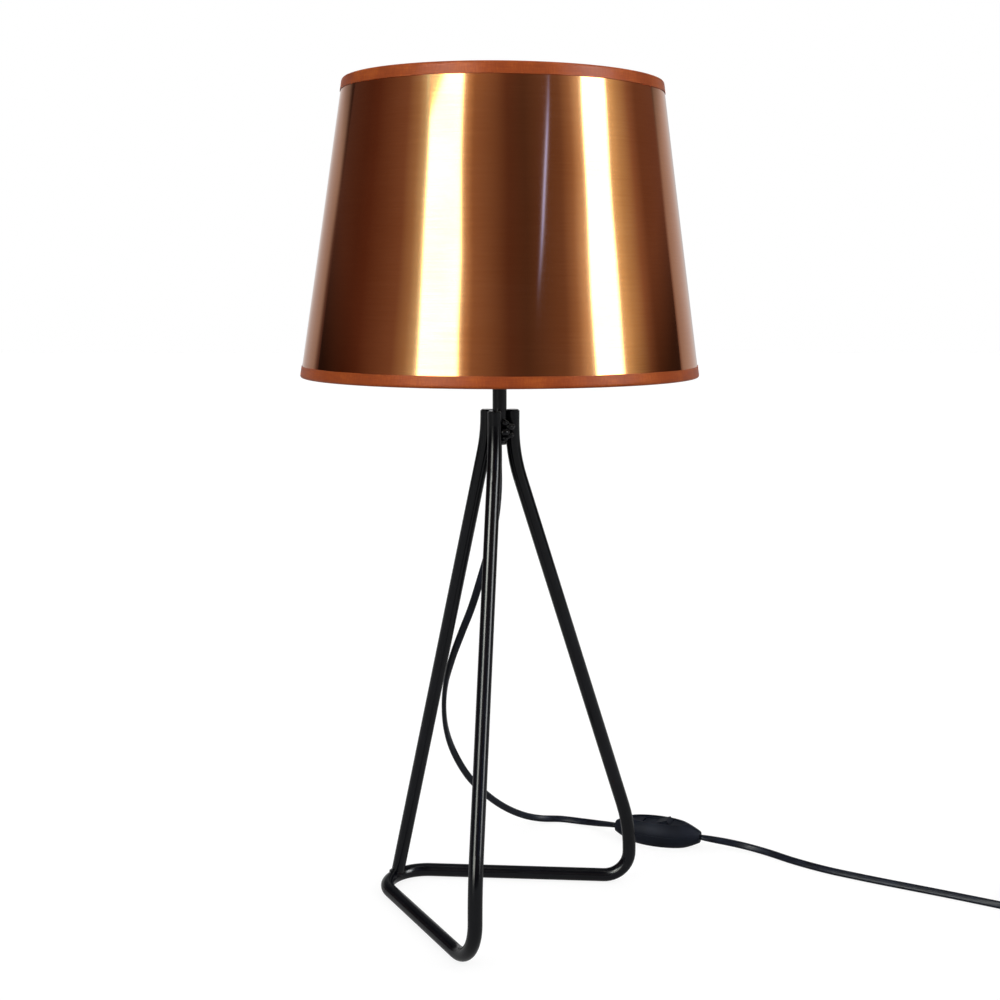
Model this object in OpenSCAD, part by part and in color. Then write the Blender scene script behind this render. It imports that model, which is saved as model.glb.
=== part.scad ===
// A table lamp in millimetres. Three bent rods are welded round a straight stem,
// which carries a screw lampholder and a tapered shade. A flat two-core cord runs
// from the stem to an in-line rocker switch and a two-pin plug.
// The origin is on the floor under the stem's axis. +Z is up and +Y is the back.

/* [Stand] */
// Diameter of the bent rods
rod_d = 10.2; // [8:0.1:12]
// Height of the rods' tops
stand_h = 376; // [350:1:400]
// From the stem's axis to the centre line of the right foot
foot_reach = 112.5; // [100:0.5:120]
// From the stem's axis to the centre line of the front foot
front_reach = 119; // [110:0.5:125]
// From the stem's axis to the point where the base's back and left bars would meet
corner_reach = 125.2; // [115:0.1:135]
// Direction of the front foot, in degrees from +X
front_az = -98; // [-105:0.5:-92]
// Direction of the front leg's top, which is welded on out of line with its foot
front_top_az = -110; // [-114:1:-98]
// Direction of the right foot
right_az = 25.5; // [22:0.5:30]
// Direction of the left leg and of the base's corner
corner_az = 148.8; // [144:0.1:153]
// Radius of the long bows in the legs, on the rod's centre line
bow_r = 115; // [80:1:120]
// Depth of the front and right legs' upper bow below the rods' tops
bow_drop = 31.9; // [28:0.1:40]
// Depth of the left leg's bow below its top
left_bow_drop = 18; // [15:0.5:24]
// Height of the right leg's lower bow above the floor
low_bow_z = 46; // [45:0.5:60]
// Height of the front leg's lower bow above the floor
front_low_bow_z = 62; // [60:0.5:75]
// Radius of the bend at the right foot
foot_r = 20; // [12:0.5:21]
// Radius of the bend at the front foot, which was pressed rounder
front_foot_r = 32; // [16:0.5:34]
// Radius of the bend at the base's corner
corner_r = 30; // [20:1:40]
// Chamfer on the rods' tops
top_chamfer = 1; // [0.5:0.1:2]
// Height of the weld beads round the stem
bead_h = 10.8; // [8:0.1:14]
// How far a weld bead stands out from the stem
bead_t = 3.2; // [2:0.1:3.6]
// Width of the weld bead at the left leg's foot
foot_bead = 1.5; // [1:0.1:2.5]

/* [Stem] */
// Diameter of the stem
stem_d = 10.2; // [9.6:0.1:12]
// Bore of the stem
stem_bore = 7.8; // [7.2:0.1:8.2]
// How far the stem reaches down between the rods
stem_grip = 24; // [18:0.5:40]
// Bare stem between the rods' tops and the lampholder
neck_h = 15.5; // [10:0.5:40]
// How far the stem screws into the lampholder
stem_screw = 10; // [8:0.5:11]
// Flange of the cord bush at the stem's lower end
bush_flange = 1.1; // [0.8:0.1:2]
// Length of the bush inside the stem
bush_l = 8; // [5:0.5:12]
// Bore of the bush
bush_bore = 6.1; // [6:0.05:6.4]

/* [Lampholder] */
// Diameter of the cap at its rim
cap_d = 38.5; // [38:0.1:42]
// Diameter of the cap's flat bottom
cap_base_d = 27; // [24:0.5:30]
// Height of the cap
cap_h = 24; // [23:0.5:30]
// Height of the cap's domed part
dome_h = 14.5; // [12:0.5:17]
// Wall of the cap and the skirt
holder_wall = 2; // [1.6:0.1:2.4]
// Outer diameter of the boss round the stem
boss_d = 15; // [14:0.1:17]
// Depth of the boss round the stem
boss_h = 12; // [11.5:0.1:13]
// Height of the skirt
skirt_h = 32; // [30:0.5:40]
// Outer diameter of the skirt
skirt_d = 39.2; // [39:0.1:42]
// Diameter of the skirt's flange, on which the shade's fitter rests
flange_d = 43; // [42.5:0.5:48]
// Thickness of that flange
flange_t = 2; // [1.5:0.1:2.5]
// Bore that takes the lamp's screw cap
socket_bore = 26.8; // [26.7:0.05:27.2]
// Wall of the sleeve round the lamp's screw cap
sleeve_wall = 2; // [1.6:0.1:2.2]
// Diameter of the shade ring
ring_d = 54; // [50:0.5:60]
// Diameter of the shade ring's grip
ring_grip_d = 45; // [44:0.5:48]
// Height of the shade ring
ring_h = 8; // [6:0.5:12]
// Thickness of the shade ring's flange
ring_flange_t = 2.5; // [2:0.1:3.5]
// Number of grip flutes on the shade ring
ring_flutes = 18; // [12:1:24]

/* [Shade] */
// Diameter of the shade at the bottom, over its trim
shade_bottom_d = 285; // [240:1:320]
// Diameter of the shade at the top, over its trim
shade_top_d = 226.5; // [190:0.5:240]
// Height of the shade
shade_h = 205; // [180:1:240]
// How far the shade's bottom edge is above the lampholder's bottom
shade_rise = 9; // [6:0.5:14]
// Thickness of the laminated film
film_t = 0.6; // [0.5:0.1:1.2]
// Overlap of the film at the back seam
seam_w = 10; // [6:1:14]
// Width of the ribbon on the shade's outside
ribbon_w = 8; // [6:0.5:12]
// Width of the ribbon on the shade's inside
ribbon_in_w = 5; // [4:0.5:8]
// Thickness of the ribbon
ribbon_t = 0.4; // [0.3:0.05:0.6]
// Diameter of the shade's wire rings
wire_d = 2.6; // [2:0.1:3.2]
// Diameter of the fitter's three arms
arm_d = 3.2; // [2.6:0.1:3.4]
// Direction of the first arm
arm_az = 30; // [0:5:120]
// Bore of the fitter ring
fitter_bore = 40.2; // [40:0.1:42]
// Diameter of the fitter ring
fitter_d = 51; // [49:0.5:53]
// Thickness of the fitter ring
fitter_t = 1.2; // [1:0.1:1.4]

/* [Lamp] */
// Diameter of the lamp's glass
globe_d = 60; // [50:1:62]
// Length of the lamp
lamp_l = 105; // [98:1:112]
// Diameter of the lamp's screw cap
lamp_cap_d = 26.2; // [25.8:0.1:26.3]
// Length of the lamp's screw cap
lamp_cap_l = 22; // [20:0.5:22.5]
// Thickness of the glass
glass_t = 0.8; // [0.6:0.1:1.2]
// Thickness of the screw cap's sheet
sheet_t = 0.3; // [0.2:0.05:0.4]

/* [Switch] */
// Length of the switch
switch_l = 73.2; // [70:0.2:78]
// Width of the switch
switch_w = 29; // [28:0.2:32]
// Height of the switch
switch_h = 19.6; // [19:0.1:21]
// Diameter of the switch's ends
switch_end_d = 9.4; // [9:0.1:11]
// Wall of the switch's shells
switch_wall = 1.8; // [1.4:0.1:2]
// Depth of the step round the rocker
step_depth = 0.7; // [0.4:0.1:0.8]
// Width of the rim that the step leaves
step_rim = 1.2; // [0.8:0.1:1.6]
// Length of the rocker
rocker_l = 24; // [22:0.5:24.5]
// Width of the rocker
rocker_w = 11.5; // [10:0.1:12]
// Angle from off to on, in degrees
rocker_throw = 24; // [16:1:26]
// Diameter of the rocker's pivot pins
pivot_d = 3; // [2.4:0.1:3.2]
// Diameter of the spring plunger under the rocker
plunger_d = 2.9; // [2.4:0.1:3]
// Length of the tilting contact
tilt_l = 16; // [14:0.5:17]
// Width of the tilting contact
tilt_w = 4; // [3:0.2:4.4]
// Angle that the tilting contact turns through, in degrees
tilt_throw = 14.4; // [10:0.2:15]
// Diameter of the two screws that hold the switch shut
case_screw_d = 2.5; // [2:0.1:2.6]
// Diameter of the four cord clamp screws
clamp_screw_d = 1.8; // [1.6:0.1:2]

/* [Plug] */
// Width of the plug's front
plug_w = 35.3; // [34:0.1:36]
// Thickness of the plug
plug_t = 13.7; // [13:0.1:15]
// Length of the plug's body
plug_l = 36; // [34:0.5:40]
// Width of the plug's waist
waist_w = 13; // [12:0.5:16]
// Radius of the finger grips at the plug's sides
grip_r = 34; // [30:1:40]
// Diameter of the pins
pin_d = 4; // [3.9:0.05:4.1]
// Length of the pins in front of the plug
pin_l = 19; // [18:0.5:20]
// Pin spacing at the plug's face
pin_gap = 18.6; // [18:0.1:19]
// Pin spacing at the tips
pin_tip_gap = 17.5; // [17:0.1:18]
// Length of the insulating sleeves on the pins
sleeve_l = 10; // [9:0.5:11]
// Length of the tapered strain relief
relief_l = 27; // [22:1:40]
// Diameter of the strain relief at the plug
relief_d = 10.4; // [9:0.1:11]
// Diameter of the strain relief at the cord
relief_end_d = 6.8; // [6.4:0.1:8]

/* [Cord] */
// Width of the flat cord
cord_w = 5.7; // [5:0.1:6]
// Thickness of the flat cord
cord_t = 3.5; // [3:0.1:3.8]
// Diameter of one insulated core inside the cord
core_d = 2; // [1.6:0.1:2.2]
// Turns in the coil
coil_turns = 5; // [3:1:6]
// Distance between neighbouring turns
coil_pitch = 4.1; // [4:0.05:5]
// Distance between the coil's two layers
layer_pitch = 6.3; // [6.1:0.05:7]
// Mean radius of the coil
coil_r = 29; // [28.5:0.5:40]
// Width of the coil's tie
tie_w = 4.5; // [3:0.5:6]
// Thickness of the coil's tie
tie_t = 0.5; // [0.3:0.05:0.5]

/* [Hidden] */

powder_black = "#1b1c1f";
moulded_black = "#14161c";
cord_black = "#15171d";
steel = "#b9bcc0";
brass = "#c9a24a";
copper_film = "#a5592b";
ribbon_brown = "#a8552f";
wire_white = "#e9e7e2";
ivory = "#e8e2d2";

// Clearances
weld_gap = 0.2;
seat_gap = 0.05;
slide_gap = 0.1;
tie_gap = 0.1;
turn_gap = 0.3;
// Overlap that fuses two shapes of one piece
bite = 0.3;
// A bent rod's straights are this much thinner than its bends
draw = 0.02;
// Turn of a straight's seam away from its bends' seams, a whole number of its sides
seam_turn = 45;

rod_r = rod_d / 2;
stem_r = stem_d / 2;
leg_ring = stem_r + rod_r + weld_gap;
holder_z = stand_h + neck_h;
skirt_z = holder_z + cap_h;

function unit(v) = v / norm(v);
function at(az, r, z) = [r * cos(az), r * sin(az), z];
function flat(v) = [v.x, v.y, 0];

// A straight length of round rod from a to b
module straight(a, b, r, sides = 48) {
    d = b - a;
    translate(a) rotate([0, acos(d.z / norm(d)), atan2(d.y, d.x)]) rotate([0, 0, seam_turn])
        cylinder(r = r, h = norm(d), $fn = sides);
}

// A bend of round rod round the corner p, from the direction u to the direction v
module bend(p, u, v, radius, r) {
    turn = acos(u * v);
    n = unit(v - (u * v) * u);
    z = cross(u, n);
    c = p - u * radius * tan(turn / 2) + n * radius;
    multmatrix([
        [-n.x, u.x, z.x, c.x],
        [-n.y, u.y, z.y, c.y],
        [-n.z, u.z, z.z, c.z],
        [0, 0, 0, 1]
    ]) rotate_extrude(angle = turn, $fn = 96) translate([radius, 0]) circle(r, $fn = 48);
}

// Length that a bend takes from the corner q between p and s
function bend_cut(p, q, s, radius) =
    let (u = unit(q - p), v = unit(s - q)) radius * tan(acos(u * v) / 2);

// One rod bent at each inner corner of pts
module bent_rod(pts, radii, r) {
    n = len(pts);
    for (i = [1 : n - 2])
        bend(pts[i], unit(pts[i] - pts[i - 1]), unit(pts[i + 1] - pts[i]), radii[i], r);
    for (i = [0 : n - 2]) {
        d = unit(pts[i + 1] - pts[i]);
        first = i == 0 ? 0 : bend_cut(pts[i - 1], pts[i], pts[i + 1], radii[i]) - bite;
        last = i == n - 2 ? 0 : bend_cut(pts[i], pts[i + 1], pts[i + 2], radii[i + 1]) - bite;
        straight(pts[i] + d * first, pts[i + 1] - d * last, r - draw);
    }
}

// The chamfered top end of a leg
module rod_top(az) {
    translate(at(az, leg_ring, stand_h - top_chamfer - bite))
        cylinder(r1 = rod_r - 2 * draw, r2 = rod_r - top_chamfer, h = top_chamfer + bite, $fn = 48);
}

function leg_top(az) = at(az, leg_ring, stand_h - top_chamfer);
function leg_bow(az) = at(az, leg_ring, stand_h - bow_drop);
right_foot = at(right_az, foot_reach, rod_r);
front_foot = at(front_az, front_reach, rod_r);
base_corner = at(corner_az, corner_reach, rod_r);

// Front leg, front foot, left bar, corner, back bar, right foot and right leg: one rod
module base_frame() {
    color(powder_black) {
        bent_rod(
            [
                leg_top(right_az), leg_bow(right_az), at(right_az, foot_reach, low_bow_z), right_foot,
                base_corner, front_foot, at(front_az, front_reach, front_low_bow_z),
                leg_bow(front_top_az), leg_top(front_top_az)
            ],
            [0, bow_r, bow_r, foot_r, corner_r, front_foot_r, bow_r, bow_r, 0],
            rod_r
        );
        rod_top(right_az);
        rod_top(front_top_az);
    }
}

// Centre of the corner's bend, on the base's plane
back_dir = unit(base_corner - right_foot);
left_dir = unit(front_foot - base_corner);
corner_turn = acos(back_dir * left_dir);
corner_in = unit(left_dir - (back_dir * left_dir) * back_dir);
corner_centre = base_corner - back_dir * corner_r * tan(corner_turn / 2) + corner_in * corner_r;

// Where the left leg's centre line lands on the corner's centre line
left_ray = at(corner_az, 1, 0);
ray_part = flat(corner_centre) * left_ray;
left_reach = ray_part + sqrt(pow(corner_r, 2) - pow(norm(flat(corner_centre)), 2) + pow(ray_part, 2));
left_bow = at(corner_az, leg_ring, stand_h - left_bow_drop);
left_land = at(corner_az, left_reach, rod_r);
left_dir_down = unit(left_land - left_bow);
left_end = left_land - left_dir_down * rod_r * 0.4;

// The corner of the base with the rod's radius r, for the saddle that is cut to it
module corner_bar(r) {
    bend(base_corner, back_dir, left_dir, corner_r, r);
}

module left_leg() {
    color(powder_black) difference() {
        union() {
            bent_rod([at(corner_az, leg_ring, stand_h - top_chamfer), left_bow, left_end], [0, bow_r, 0], rod_r);
            rod_top(corner_az);
        }
        corner_bar(rod_r + weld_gap);
    }
}

// The bead that joins the left leg's saddle to the base
module foot_weld() {
    color(powder_black) difference() {
        intersection() {
            straight(left_end, left_land - left_dir_down * rod_d * 1.6, rod_r + foot_bead);
            corner_bar(rod_r + foot_bead);
        }
        corner_bar(rod_r + seat_gap);
        straight(left_land, left_land - left_dir_down * rod_d * 2, rod_r + seat_gap);
    }
}

module stem_tube() {
    color(powder_black) translate([0, 0, stand_h - stem_grip]) difference() {
        cylinder(r = stem_r, h = stem_grip + neck_h + stem_screw, $fn = 64);
        translate([0, 0, -1]) cylinder(d = stem_bore, h = stem_grip + neck_h + stem_screw + 2, $fn = 64);
    }
}

// Three fillet beads, one between each two legs
module stem_welds() {
    bead_r = (pow(bead_h / 2, 2) + pow(bead_t, 2)) / (2 * bead_t);
    bead_z = stand_h - stem_grip / 2;
    color(powder_black) difference() {
        rotate_extrude($fn = 96) intersection() {
            translate([stem_r + seat_gap + bead_t - bead_r, bead_z]) circle(bead_r, $fn = 64);
            translate([stem_r + seat_gap, bead_z - bead_h]) square([bead_t + 1, bead_h * 2]);
        }
        for (az = [front_top_az, right_az, corner_az])
            translate(at(az, leg_ring, bead_z - bead_h))
                cylinder(r = rod_r + weld_gap + 2 * seat_gap, h = bead_h * 2, $fn = 48);
    }
}

bush_z = stand_h - stem_grip - seat_gap - bush_flange;

module stem_bush() {
    color(moulded_black) translate([0, 0, bush_z]) rotate_extrude($fn = 64) polygon([
        [bush_bore / 2, 0],
        [stem_r - 0.2, 0],
        [stem_r - 0.2, bush_flange],
        [stem_bore / 2 - seat_gap, bush_flange],
        [stem_bore / 2 - seat_gap, bush_flange + bush_l],
        [bush_bore / 2, bush_flange + bush_l]
    ]);
}

// Outline of the flat cord's section: two cores side by side, flat between rounded edges
cord_outline = [
    for (p = [[1, -0.43], [1, 0.43], [0.66, 1], [-0.66, 1], [-1, 0.43], [-1, -0.43], [-0.66, -1], [0.66, -1]])
        [p.x * cord_w / 2, p.y * cord_t / 2]
];

wire_port_y = 6.5;
lead_top = holder_z + boss_h + 1;
core_z = skirt_z - 5.5;

// The cord inside the stem, and its two cores up to the lampholder's terminals
module stem_lead() {
    color(cord_black) {
        translate([0, 0, bush_z]) rotate([0, 0, 90]) linear_extrude(lead_top - bush_z) polygon(cord_outline);
        for (s = [-1, 1])
            wire(
                [
                    [0, s * cord_w / 5, lead_top - bite],
                    [0, s * wire_port_y, core_z - 1.5],
                    [0, s * wire_port_y, core_z + 3]
                ],
                core_d / 2
            );
    }
}

dome_r = (pow((cap_d - cap_base_d) / 2, 2) + pow(dome_h, 2)) / (cap_d - cap_base_d);
neck_r = skirt_d / 2 - holder_wall - 0.2;
neck_wall = 1.8;
neck_top = skirt_z + 3.1;

// Half of the cap's outline, in from its surface by inset
module cap_outline(inset) {
    intersection() {
        translate([cap_d / 2 - dome_r, holder_z + dome_h]) circle(dome_r - inset, $fn = 180);
        translate([0, holder_z + inset]) square([cap_d / 2, dome_h - inset + bite / 2]);
    }
    translate([0, holder_z + dome_h]) square([cap_d / 2 - inset, cap_h - dome_h + (inset > 0 ? 1 : 0)]);
}

module holder_cap() {
    color(moulded_black) rotate_extrude($fn = 96) difference() {
        union() {
            difference() {
                cap_outline(0);
                cap_outline(holder_wall);
            }
            translate([0, holder_z + bite]) square([boss_d / 2, boss_h - bite]);
            translate([neck_r - neck_wall, skirt_z - 4]) square([neck_wall, neck_top - skirt_z + 4]);
        }
        translate([0, holder_z - 1]) square([stem_r + slide_gap, boss_h + 2]);
    }
}

sleeve_r = socket_bore / 2 + sleeve_wall;
socket_z = neck_top + 3.4;
tab_w = 5;

module holder_skirt() {
    top = skirt_z + skirt_h;
    color(moulded_black) difference() {
        rotate_extrude($fn = 96) polygon([
            [socket_bore / 2, socket_z],
            [sleeve_r, socket_z],
            [sleeve_r, top - 3.5],
            [skirt_d / 2 - holder_wall, top - 3.5],
            [skirt_d / 2 - holder_wall, skirt_z],
            [flange_d / 2, skirt_z],
            [flange_d / 2, skirt_z + flange_t],
            [skirt_d / 2, skirt_z + flange_t],
            [skirt_d / 2, top - 1],
            [skirt_d / 2 - 1, top],
            [socket_bore / 2, top]
        ]);
        translate([socket_bore / 2 - 1, -tab_w / 2 - 0.5, socket_z - 1]) cube([sleeve_wall + 2, tab_w + 1, 11]);
    }
}

flange_z = neck_top + seat_gap * 2;
core_floor = flange_z + 0.8;
core_r = neck_r - neck_wall - 0.2;
terminal_at = [4.2, wire_port_y, 0];

module holder_core() {
    color(ivory) difference() {
        union() {
            translate([0, 0, core_z]) cylinder(r = core_r, h = flange_z - core_z + 1, $fn = 72);
            translate([0, 0, flange_z]) cylinder(r = neck_r, h = socket_z - flange_z - 0.2, $fn = 72);
        }
        translate([0, 0, core_floor]) cylinder(r = socket_bore / 2 + 0.6, h = 5, $fn = 72);
        for (s = [-1, 1]) {
            translate([0, s * wire_port_y, core_z - 1]) cylinder(d = core_d + 0.8, h = 6, $fn = 24);
            translate([terminal_at.x * s, terminal_at.y * s, core_z - 1]) cylinder(r = 1.6, h = 7, $fn = 24);
        }
    }
}

module terminal_screws() {
    color(brass) for (s = [-1, 1]) translate([terminal_at.x * s, terminal_at.y * s, core_z - 1.6]) {
        difference() {
            cylinder(r = 2.6, h = 1.55, $fn = 32);
            translate([-3, -0.4, -1]) cube([6, 0.8, 1.7]);
        }
        cylinder(r = 1.5, h = 6.5, $fn = 32);
    }
}

// Plane on which the lamp's tip meets the centre contact
contact_z = core_floor + 1.5;

module centre_contact() {
    color(brass) translate([0, 0, core_floor + seat_gap]) {
        translate([-8, -2.5, 0]) cube([11, 5, 0.4]);
        cylinder(r = 2.5, h = contact_z - core_floor - seat_gap - slide_gap, $fn = 32);
    }
}

module side_contact() {
    tip = lamp_cap_d / 2 + turn_gap;
    color(brass) translate([0, 0, core_floor + seat_gap]) {
        translate([6.5, -2, 0]) cube([tip + 0.5 - 6.5, 4, 0.5]);
        translate([tip, -2, 0]) cube([0.5, 4, 10]);
    }
}

ring_z = skirt_z + flange_t + fitter_t + seat_gap * 2;

// The ring that screws down on the skirt and holds the shade's fitter
module shade_ring() {
    bore_r = skirt_d / 2 + slide_gap;
    color(moulded_black) translate([0, 0, ring_z]) difference() {
        rotate_extrude($fn = 96) polygon([
            [bore_r, 0],
            [ring_d / 2, 0],
            [ring_d / 2, ring_flange_t - 0.8],
            [ring_d / 2 - 0.8, ring_flange_t],
            [ring_grip_d / 2, ring_flange_t],
            [ring_grip_d / 2, ring_h - 0.8],
            [ring_grip_d / 2 - 0.8, ring_h],
            [bore_r, ring_h]
        ]);
        for (i = [0 : ring_flutes - 1])
            translate(at(i * 360 / ring_flutes, ring_grip_d / 2 + 0.9, ring_flange_t + 0.01))
                cylinder(r = 1.8, h = ring_h, $fn = 24);
    }
}

shade_z = holder_z + shade_rise;
shade_lean = (shade_bottom_d - shade_top_d) / 2 / shade_h;
// Width along the horizontal of a layer one millimetre thick on the shade's slope
lean_k = sqrt(1 + pow(shade_lean, 2));
// Radius of the trim's outer face at a height above the shade's bottom
function shade_r(h) = shade_bottom_d / 2 - shade_lean * h;
film_in = (ribbon_t + seat_gap) * lean_k;
film_edge = ribbon_t + seat_gap;
wire_r = wire_d / 2;
bottom_wire_h = film_edge + wire_r;
top_wire_h = shade_h - film_edge - wire_r;
wire_in = film_in + film_t * lean_k + wire_r * lean_k + seat_gap;

module wire_ring(h) {
    translate([0, 0, shade_z + h]) rotate_extrude($fn = 144)
        translate([shade_r(h) - wire_in, 0]) circle(wire_r, $fn = 32);
}

fitter_z = skirt_z + flange_t + seat_gap;
arm_count = 3;
arm_start_r = flange_d / 2 + 1;

// One of the fitter's arms, as thick as d, from the fitter ring to the bottom wire
module carrier_arm(i, d) {
    az = arm_az + i * 360 / arm_count;
    start = at(az, arm_start_r, fitter_z + fitter_t - seat_gap - arm_d / 2 - 0.2);
    straight(start, at(az, shade_r(bottom_wire_h) - wire_in, shade_z + bottom_wire_h), d / 2);
}

module shade_carrier() {
    color(wire_white) {
        translate([0, 0, fitter_z]) difference() {
            cylinder(d = fitter_d, h = fitter_t, $fn = 72);
            translate([0, 0, -1]) cylinder(d = fitter_bore, h = fitter_t + 2, $fn = 72);
        }
        wire_ring(bottom_wire_h);
        for (i = [0 : arm_count - 1]) carrier_arm(i, arm_d);
    }
}

module top_wire() {
    color(wire_white) wire_ring(top_wire_h);
}

module shade_panel() {
    low = film_edge;
    high = shade_h - film_edge;
    seam_low = ribbon_w + 0.5;
    seam_high = shade_h - ribbon_w - 0.5;
    seam_angle = 360 * seam_w / (PI * shade_bottom_d);
    color(copper_film) translate([0, 0, shade_z]) {
        rotate_extrude($fn = 180) polygon([
            [shade_r(low) - film_in, low],
            [shade_r(high) - film_in, high],
            [shade_r(high) - film_in - film_t * lean_k, high],
            [shade_r(low) - film_in - film_t * lean_k, low]
        ]);
        rotate([0, 0, 90 - seam_angle / 2]) rotate_extrude(angle = seam_angle, $fn = 180) polygon([
            [shade_r(seam_low) - film_in - film_t * 0.6, seam_low],
            [shade_r(seam_low) - film_in + film_t * 0.5, seam_low],
            [shade_r(seam_high) - film_in + film_t * 0.5, seam_high],
            [shade_r(seam_high) - film_in - film_t * 0.6, seam_high]
        ]);
    }
}

// The ribbon round an edge of the shade: up its outside, over the edge and round the wire.
// up is 1 at the bottom edge and -1 at the top edge.
module ribbon(edge_h, up) {
    t = ribbon_t;
    wire_h = edge_h + up * (film_edge + wire_r);
    inner = shade_r(wire_h) - wire_in - wire_r - seat_gap;
    translate([0, 0, shade_z]) rotate_extrude($fn = 180) polygon([
        [shade_r(edge_h), edge_h],
        [shade_r(edge_h + up * ribbon_w), edge_h + up * ribbon_w],
        [shade_r(edge_h + up * ribbon_w) - t * lean_k, edge_h + up * ribbon_w],
        [shade_r(edge_h + up * t) - t * lean_k, edge_h + up * t],
        [inner, edge_h + up * t],
        [inner, edge_h + up * ribbon_in_w],
        [inner - t, edge_h + up * ribbon_in_w],
        [inner - t, edge_h]
    ]);
}

module top_trim() {
    color(ribbon_brown) ribbon(shade_h, -1);
}

module bottom_trim() {
    color(ribbon_brown) difference() {
        ribbon(0, 1);
        for (i = [0 : arm_count - 1]) carrier_arm(i, arm_d + 0.4);
    }
}

tip_t = 0.55;
glass_low = contact_z + 4.2;
cap_top = glass_low + lamp_cap_l;
lamp_cap_r = lamp_cap_d / 2;
globe_z = contact_z + lamp_l - globe_d / 2;

module bulb_contact() {
    color(steel) translate([0, 0, contact_z]) cylinder(r1 = 3.6, r2 = 4.4, h = tip_t, $fn = 48);
}

module bulb_insulator() {
    color(moulded_black) translate([0, 0, contact_z + tip_t + seat_gap]) rotate_extrude($fn = 64) polygon([
        [0, 0],
        [4.8, 0],
        [9, 2],
        [lamp_cap_r - 2, 3.4],
        [lamp_cap_r - 2, 5],
        [0, 5]
    ]);
}

module bulb_cap() {
    color(steel) rotate_extrude($fn = 72) polygon([
        [lamp_cap_r - 1.9, glass_low - 0.6],
        [lamp_cap_r - 1.6, glass_low - 0.6],
        [lamp_cap_r, glass_low + 1.4],
        [lamp_cap_r, cap_top],
        [lamp_cap_r - sheet_t, cap_top],
        [lamp_cap_r - sheet_t, glass_low + 1.5],
        [lamp_cap_r - 1.9, glass_low - 0.1]
    ]);
}

// Half of the glass's outline, in from its surface by inset
module glass_outline(inset) {
    neck = lamp_cap_r - sheet_t - 0.15 - inset;
    base = glass_low + 2.5;
    intersection() {
        union() {
            translate([0, globe_z]) circle(globe_d / 2 - inset, $fn = 144);
            translate([0, base + inset]) square([neck, cap_top - base + 3]);
            polygon([
                [0, cap_top + 2],
                [neck, cap_top + 2],
                [globe_d * 0.4 - inset, globe_z - globe_d * 0.28],
                [0, globe_z - globe_d * 0.28]
            ]);
        }
        translate([0, base]) square([globe_d, lamp_l]);
    }
}

module bulb_globe() {
    color("#f4f1e8") rotate_extrude($fn = 96) difference() {
        glass_outline(0);
        glass_outline(glass_t);
    }
}

// The in-line switch. Its own frame has X along the cord and Z = 0 on the parting plane.
switch_at = [133, 134.3];
switch_az = -22.8;
half_l = switch_l / 2;
half_h = switch_h / 2;
side_sag = (switch_w - switch_end_d) / 2;
side_r = (pow(side_sag, 2) + pow(half_l, 2)) / (2 * side_sag);
pivot_z = half_h - 5.2;
rocker_r = rocker_l / 2;
end_wall = 3.4;

module at_switch() {
    translate([switch_at.x, switch_at.y, half_h]) rotate([0, 0, switch_az]) children();
}

// The switch's rounded form without its flat top and bottom, in from its surface by inset
module spindle(inset) {
    reach = half_l - (inset > 0 ? end_wall : 0);
    rotate([0, 90, 0]) rotate_extrude($fn = 96) intersection() {
        translate([switch_w / 2 - side_r, 0]) circle(side_r - inset, $fn = 240);
        translate([0, -reach]) square([switch_w, reach * 2]);
    }
}

// A layer of the spindle between two heights
module spindle_layer(inset, low, high) {
    intersection() {
        spindle(inset);
        translate([-switch_l, -switch_w, low]) cube([switch_l * 2, switch_w * 2, high - low]);
    }
}

module cord_slots() {
    cube([switch_l + 2, cord_w + 0.4, cord_t + 0.4], center = true);
}

case_screw_at = [16, 5];
clamp_x = 27.5;
clamp_y = 4.4;
floor_z = switch_wall - half_h;

module switch_lower() {
    color(moulded_black) at_switch() difference() {
        union() {
            difference() {
                spindle_layer(0, -half_h, -slide_gap / 2);
                spindle_layer(switch_wall, floor_z, 1);
            }
            for (s = [-1, 1]) {
                translate([s * case_screw_at.x, case_screw_at.y, floor_z - bite])
                    cylinder(r = case_screw_d / 2 + 0.8, h = -floor_z + bite - slide_gap / 2, $fn = 32);
                intersection() {
                    translate([s * clamp_x - 1.8, -switch_w / 2, -half_h]) cube([3.6, switch_w, half_h - cord_t / 2 - 0.1]);
                    spindle(1);
                }
            }
        }
        cord_slots();
        for (s = [-1, 1]) {
            translate([s * case_screw_at.x, case_screw_at.y, -half_h - 1]) {
                cylinder(d = case_screw_d + 0.2, h = switch_h, $fn = 32);
                cylinder(d = case_screw_d + 1.9, h = 2.3, $fn = 32);
            }
            for (t = [-1, 1])
                translate([s * clamp_x, t * clamp_y, -5]) cylinder(d = clamp_screw_d + 0.1, h = 8, $fn = 24);
        }
    }
}

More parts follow.
